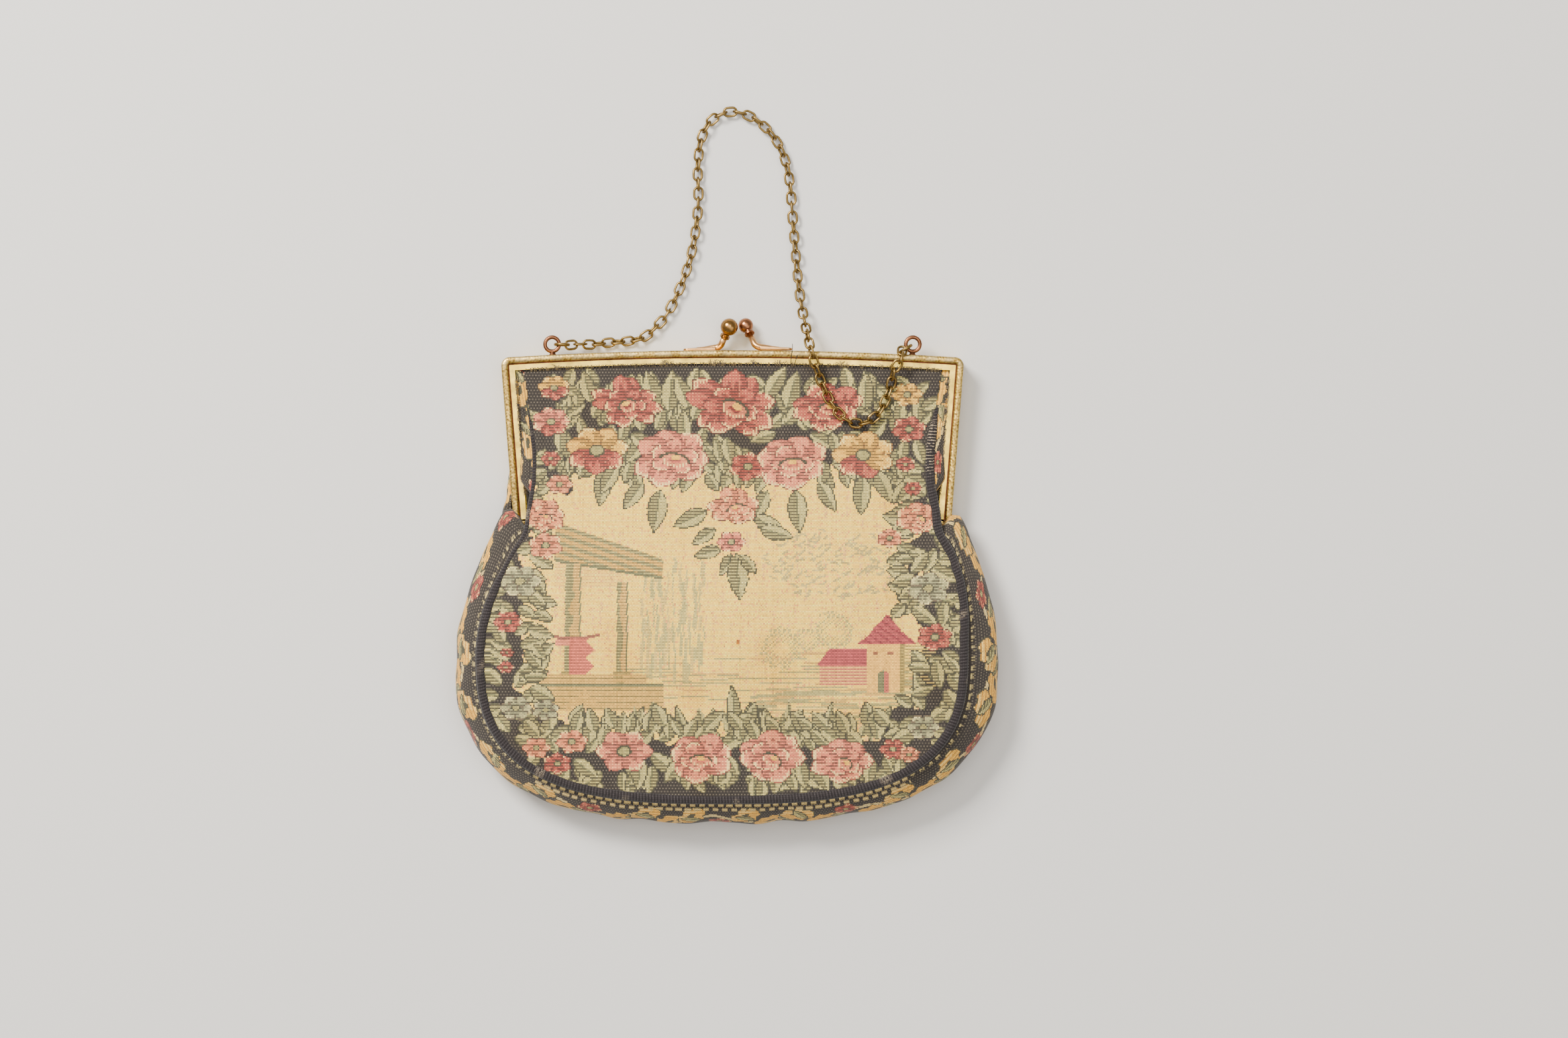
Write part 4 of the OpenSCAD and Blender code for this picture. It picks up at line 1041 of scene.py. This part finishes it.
def metal(name, colour, rough, dent, scale):
    """Old metal, clouded by rubbing, with fine scratches; colour may be the name of its face colours."""
    finish, shader = new_finish(name)
    if isinstance(colour, str):
        colour = add_node(finish, "Attribute", {}, "Color", attribute_name=colour)
    else:
        colour = (*linear(colour), 1)
    place = add_node(finish, "TexCoord", {}, "Object")
    cloud = add_node(finish, "TexNoise", {"Vector": place, "Scale": scale, "Detail": 6})
    patina = add_node(finish, "MapRange", {"Value": cloud, "From Min": 0.32, "From Max": 0.68,
                                           "To Min": 0.62, "To Max": 1.1})
    gloss = add_node(finish, "MapRange", {"Value": cloud, "From Min": 0.3, "From Max": 0.7,
                                          "To Min": rough + 0.12, "To Max": rough - 0.06})
    grain = add_node(finish, "TexNoise", {"Vector": place, "Scale": scale * 7, "Detail": 4})
    bump = add_node(finish, "Bump", {"Height": grain, "Strength": dent, "Distance": 0.0002})
    feed(finish, shader, {"Base Color": multiplied(finish, colour, patina), "Metallic": 1,
                          "Roughness": gloss, "Normal": bump})
    return finish


engraved = metal("engraved_gilt", "gilding", 0.4, 0.25, 320)
plain_gilt = metal("plain_gilt", rgb(240, 206, 92), 0.38, 0.12, 260)


def finish_node(node, material):
    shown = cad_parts[node]
    shown.data.materials.clear()
    shown.data.materials.append(material)


for name, node, body, front in (("front_engraved_face", "front_rim", "front_half", True),
                                ("back_engraved_face", "back_rim", "purse", False)):
    face = laid_grid(name, rim_across, rim_around, lay_rim(front))
    rim_uv = face_uv(face)
    u, v = rim_uv[:, 0] if front else 1 - rim_uv[:, 0], rim_uv[:, 1]
    s = np.interp(u, np.linspace(0, 1, rim_across + 1), rim_run)
    w = np.clip((v - crown_mid) / crown_half, -1, 1)
    raised = laurel(s, w)
    chance = np.random.default_rng(94).random(len(s))
    fleck = 0.55 * soft_noise(s, w * 1.6, 1.3, 95) + 0.5 * (chance - 0.5)
    # Lighter on the raised laurel leaves and darker brass in the hollows between them, with random flecks
    bright = ease(0.5 + 0.35 * raised + 0.5 * fleck)[:, None]
    tone = between(rgb(122, 90, 40), rgb(228, 196, 106), bright)
    on_top = ease((face_middles(face)[:, 1] - 74) / 3)
    pale = (between(0.12, 0.5, on_top) * ease(0.7 + soft_noise(s, w * 4, 7, 93)))[:, None]
    tone = tone * (1 - pale) + rgb(226, 204, 150) * pale
    tone = np.where((v < wall_end)[:, None], rgb(224, 188, 92), tone)
    # Dark red-brown along the edge of the face where it meets the flange, in the groove
    groove = ease((v - 0.84) / 0.05)[:, None]
    dye(face, "gilding", tone * (1 - groove) + rgb(88, 48, 36) * groove)
    face.data.materials.append(engraved)
    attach(face, body)
    finish_node(node, plain_gilt)

# Flanges and rivets: flat gilt strips inside the rims, which clamp the cloth, and the turned brass rivets
# through the ears at the leg ends, which the front half swings on.
for node in ("front_flange", "back_flange", "left_hinge_rivet", "right_hinge_rivet"):
    finish_node(node, plain_gilt)

# Frayed ends of the cloth, caught between its clamped edge and the front flange, and one loose black
# thread that has worked up over the top bar.
draw = np.random.default_rng(101)
over_flange_z = 9.72


def thread(name, runs, thickness, colours, rough):
    """Loose threads, each a thin round run of points, in millimetres."""
    line = bpy.data.curves.new(name, "CURVE")
    line.dimensions = "3D"
    line.bevel_depth = thickness * mm
    line.bevel_resolution = 1
    line.resolution_u = 3
    line.use_fill_caps = True
    for run in runs:
        spline = line.splines.new("NURBS")
        spline.points.add(len(run) - 1)
        spline.points.foreach_set("co", [c for p in run for c in (p[0] * mm, p[1] * mm, p[2] * mm, 1)])
        spline.use_endpoint_u = True
        spline.order_u = 3
    piece = bpy.data.objects.new(name, line)
    bpy.context.collection.objects.link(piece)
    pick(piece)
    bpy.ops.object.convert(target="MESH")
    piece = bpy.context.object
    finish, shader = new_finish(name)
    tones = clouded(finish, 700, zip((0.4, 0.62), colours))[1]
    feed(finish, shader, {"Base Color": tones, "Roughness": rough})
    piece.data.materials.append(finish)
    return piece


frays = []
tufts = [(-61, 5), (-24, 8), (-22.6, 6), (-6.8, 9), (-4.6, 8), (7.3, 9), (16.4, 10), (38, 6), (52, 4)]
fuzz = [(x, 1) for x in draw.uniform(-72, 72, 420)]
for middle, count in tufts + fuzz:
    for _ in range(count):
        x = middle + draw.normal(0, 0.5)
        edge = float(arch_y(np.clip(x, -74, 74))) - 4.4
        reach = draw.uniform(0.3, 1.25) if count > 1 else draw.uniform(0.02, 0.3)
        drift, curl = draw.normal(0, 0.5), draw.normal(0, 0.6)
        frays.append([(x, edge - 1, 8.55), (x + 0.2 * drift, edge - 0.3, 9.45),
                      (x + 0.6 * drift, edge + 0.1, over_flange_z),
                      (x + drift, edge + 0.6 * reach, over_flange_z),
                      (x + drift + curl * reach, edge + reach, 9.6)])
for side in (-1, 1):
    for y in draw.uniform(32, 72, 110):
        x, reach = leg_in(y), draw.uniform(0.02, 0.4)
        frays.append([(side * (x - 0.9), y, 8.6), (side * (x - 0.15), y + 0.2, 9.5),
                      (side * (x + 0.1), y + draw.normal(0, 0.4), over_flange_z),
                      (side * (x + reach), y + draw.normal(0, 0.7), 9.62)])
fringe = thread("frayed_edge", frays, 0.085, (rgb(72, 64, 58), rgb(136, 118, 84)), 0.9)
loose = thread("loose_thread", [
    [(20.2, 76.4, 9.4), (20.3, 78.2, 10.4), (20.5, 80.6, 10.95), (20.9, 82.6, 10.7), (20.8, 84.2, 10.1)],
    [(21.6, 77, 9.4), (21.8, 78, 10.2), (22.2, 79.2, 10.9), (22.6, 80.2, 10.95)]],
    0.11, (rgb(24, 22, 22), rgb(44, 40, 40)), 0.8)
for piece in (fringe, loose):
    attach(piece, "front_half")

# Kiss clasp: two cast arms of rubbed rose gilt, each on a flat foot soldered to the top bar and bent
# up and across to a turned ball. The larger ball, of darker bronze, is on the back half.
foot_y, foot_z, foot_l, foot_w, foot_h = 82.03, 2.6, 11.4, 3.4, 1.5
arm_d, arm_bend, arm_turn, collar_h = 2.3, 2.6, math.radians(68), 1.3
arm_y, ball_lean = foot_y + arm_d / 2, 4.25
rose_gilt = metal("rose_gilt", rgb(214, 164, 108), 0.3, 0.12, 300)
bronze = metal("bronze_ball", rgb(158, 118, 66), 0.24, 0.06, 260)
copper = metal("copper_ball", rgb(166, 112, 78), 0.26, 0.06, 260)
eye_copper = metal("eye_copper", rgb(134, 88, 60), 0.3, 0.1, 400)


def clasp_lever(name, rise, ball_d, to_half):
    """Arm and foot of one half, as one piece; to_half takes its own places to those of the purse."""
    up = top_y + rise - arm_y
    tilt, reach = math.atan2(ball_lean, up), math.hypot(ball_lean, up)
    straight = (reach - arm_bend * (1 - math.cos(arm_turn))) / math.sin(arm_turn)
    run = arm_bend * math.sin(arm_turn) + straight * math.cos(arm_turn)
    stem = straight - ball_d / 2 - collar_h
    bend = np.linspace(0, arm_turn, 14)
    end = arm_bend * np.array([math.sin(arm_turn), 1 - math.cos(arm_turn)])
    tip = end + stem * np.array([math.cos(arm_turn), math.sin(arm_turn)])
    root = smooth_line([(-6.4, -0.4, 0, 0.5), (-4.2, -0.36, 0, 0.7), (-1.9, -0.2, 0, 0.98),
                        (0, 0, 0, arm_d / 2)], 6)[:-1]
    curve = np.column_stack([arm_bend * np.sin(bend), arm_bend * (1 - np.cos(bend)), bend,
                             np.full(len(bend), arm_d / 2)])
    stations = np.vstack([root[:1] * (1, 1, 1, 0), root, curve,
                          [(*tip, arm_turn, 0.45 * arm_d), (*tip, arm_turn, 0)]])

    def place(u, v):
        k = np.round(u * (len(stations) - 1)).astype(int)
        along, above, slope, r = stations[k].T
        a = 2 * np.pi * v
        lx, ly = along - r * np.cos(a) * np.sin(slope), above + r * np.cos(a) * np.cos(slope)
        lz = r * np.sin(a)
        return to_half(lx - run, arm_y + ly * math.cos(tilt) + lz * math.sin(tilt),
                       foot_z - ly * math.sin(tilt) + lz * math.cos(tilt))

    arm = laid_grid(name, len(stations) - 1, 20, place)
    bpy.ops.object.select_all(action="DESELECT")
    bpy.ops.mesh.primitive_cube_add(size=1)
    foot = bpy.context.object
    foot.scale = (foot_l * mm, foot_h * mm, foot_w * mm)
    bpy.ops.object.transform_apply(location=False, rotation=False, scale=True)
    ends = [[foot.data.vertices[k].co for k in edge.vertices] for edge in foot.data.edges]
    edit_chosen(foot, "edges", [a.x < 0 and b.x < 0 and abs(a.z - b.z) < 1e-6 for a, b in ends])
    bpy.ops.mesh.bevel(offset=0.48 * foot_w * mm, segments=9, affect="EDGES")
    bpy.ops.object.mode_set(mode="OBJECT")
    soften = foot.modifiers.new("soften", "BEVEL")
    soften.width, soften.segments, soften.angle_limit = 0.32 * mm, 3, 0.9
    bpy.ops.object.modifier_apply(modifier="soften")
    for vertex in foot.data.vertices:
        x, y, z = vertex.co / mm
        thin = 1 - 0.45 * (0.5 - x / foot_l) * (y > 0)
        spot = to_half(x - run + 0.4 - foot_l / 2, foot_y + (y + foot_h / 2) * thin, foot_z + z)
        vertex.co = [c * mm for c in spot]
    bpy.ops.object.shade_smooth_by_angle(angle=0.7)
    pick(arm, foot)
    bpy.ops.object.join()
    close_tube(arm)
    arm.data.materials.append(rose_gilt)
    return arm


back_lever = clasp_lever("back_clasp_lever", 8.2, 6.1, lambda x, y, z: (x - 1.164, y, back_z - z))
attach(back_lever, "purse")
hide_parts("back_clasp_arm")
front_lever = clasp_lever("front_clasp_lever", 8.9, 5.2, lambda x, y, z: (4.564 - x, y, front_z + z))
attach(front_lever, "front_half")
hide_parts("front_clasp_arm")
finish_node("back_clasp_ball", bronze)
finish_node("front_clasp_ball", copper)
for node in ("left_chain_eye", "right_chain_eye"):
    finish_node(node, eye_copper)

# Carrying chain: oval links of antiqued brass wire that hang in each other, with a thick jump ring at
# each end. It lies over the rim, in a loop on the front panel and in an arch on the table.
link_l, link_w, link_wire, link_gaps, link_roll = 5.3, 3.8, 0.85, 82, math.radians(24)
table_z, over_rim, eye_x = 1.95, 12.75, 62.5
chain_left, chain_right = (-56.158, 84.0, 6.198), (58.89, 81.745, 10.7)


def on_cloth(x, y):
    return x, y, float(front_face_z(x, y)) + cloth_half + link_w / 2 + 0.35


route = [chain_left, (chain_left[0] + 3.6, chain_left[1] + 0.4, chain_left[2] - 1.7), (-49, 84.3, 3)]
route += [(x, top_y + rise, table_z) for x, rise in (
    (-43.5, 3), (-36.5, 3.6), (-31, 5), (-27, 8.4), (-23, 13), (-18.5, 22), (-15, 32), (-13, 42),
    (-12, 53), (-12.2, 64), (-11, 74), (-7.5, 80.5), (-1.5, 83.5), (5, 82.5), (11, 78.5), (15.5, 73),
    (18.5, 66), (20, 58), (20.8, 48), (21.8, 36), (22.8, 25))]
route += [(23.9, top_y + 16.5, table_z + 0.5), (25.2, top_y + 9.5, 6.5), (26.3, top_y + 4.2, 10.6),
          (27.4, top_y - 0.8, over_rim + 0.2), (28.8, top_y - 5.6, over_rim - 0.3)]
route += [on_cloth(x, top_y - drop) for x, drop in (
    (31, 11.5), (34, 18), (38, 23), (42, 25.2), (eye_x - 16, 25), (eye_x - 12, 22),
    (eye_x - 9.3, 17), (eye_x - 7.5, 11.8))]
route += [(eye_x - 6.7, top_y - 7.4, over_rim + 0.1),
          (chain_right[0] - 0.6, chain_right[1] - 3.2, over_rim + 0.7), chain_right]
chain_line = smooth_line(route, 10)
chain_run = np.r_[0, np.cumsum(np.linalg.norm(np.diff(chain_line, axis=0), axis=1))]


def on_chain(s):
    return np.array([np.interp(s, chain_run, chain_line[:, k]) for k in range(3)])


bpy.ops.object.select_all(action="DESELECT")
bpy.ops.mesh.primitive_torus_add(major_radius=(link_w - link_wire) / 2 * mm,
                                 minor_radius=link_wire / 2 * mm, major_segments=24, minor_segments=8)
link = bpy.context.object
for vertex in link.data.vertices:
    if abs(vertex.co.x) > 0.01 * mm:
        vertex.co.x += math.copysign((link_l - link_w) / 2 * mm, vertex.co.x)
bpy.ops.object.shade_smooth()
links, step = [], chain_run[-1] / link_gaps
for k in range(link_gaps + 1):
    here, way = on_chain(k * step), on_chain((k + 0.5) * step) - on_chain((k - 0.5) * step)
    heading, climb = math.atan2(way[1], way[0]), math.atan2(way[2], math.hypot(way[0], way[1]))
    roll = math.pi / 2 * (k % 2) + link_roll * math.sin(7 * math.pi * k / link_gaps)
    turn = (Matrix.Translation(here * mm) @ Matrix.Rotation(heading, 4, "Z")
            @ Matrix.Rotation(-climb, 4, "Y") @ Matrix.Rotation(roll, 4, "X"))
    copy = link.copy()
    copy.data = link.data.copy()
    copy.data.transform(turn)
    bpy.context.collection.objects.link(copy)
    links.append(copy)
bpy.data.objects.remove(link)
pick(*links)
bpy.ops.object.join()
chain = bpy.context.object
chain.name = chain.data.name = "chain_links"
old_brass = metal("old_brass", rgb(140, 114, 64), 0.34, 0.15, 500)
chain.data.materials.append(old_brass)
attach(chain, "front_half")
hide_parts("chain")
for node in ("left_jump_ring", "right_jump_ring"):
    finish_node(node, old_brass)
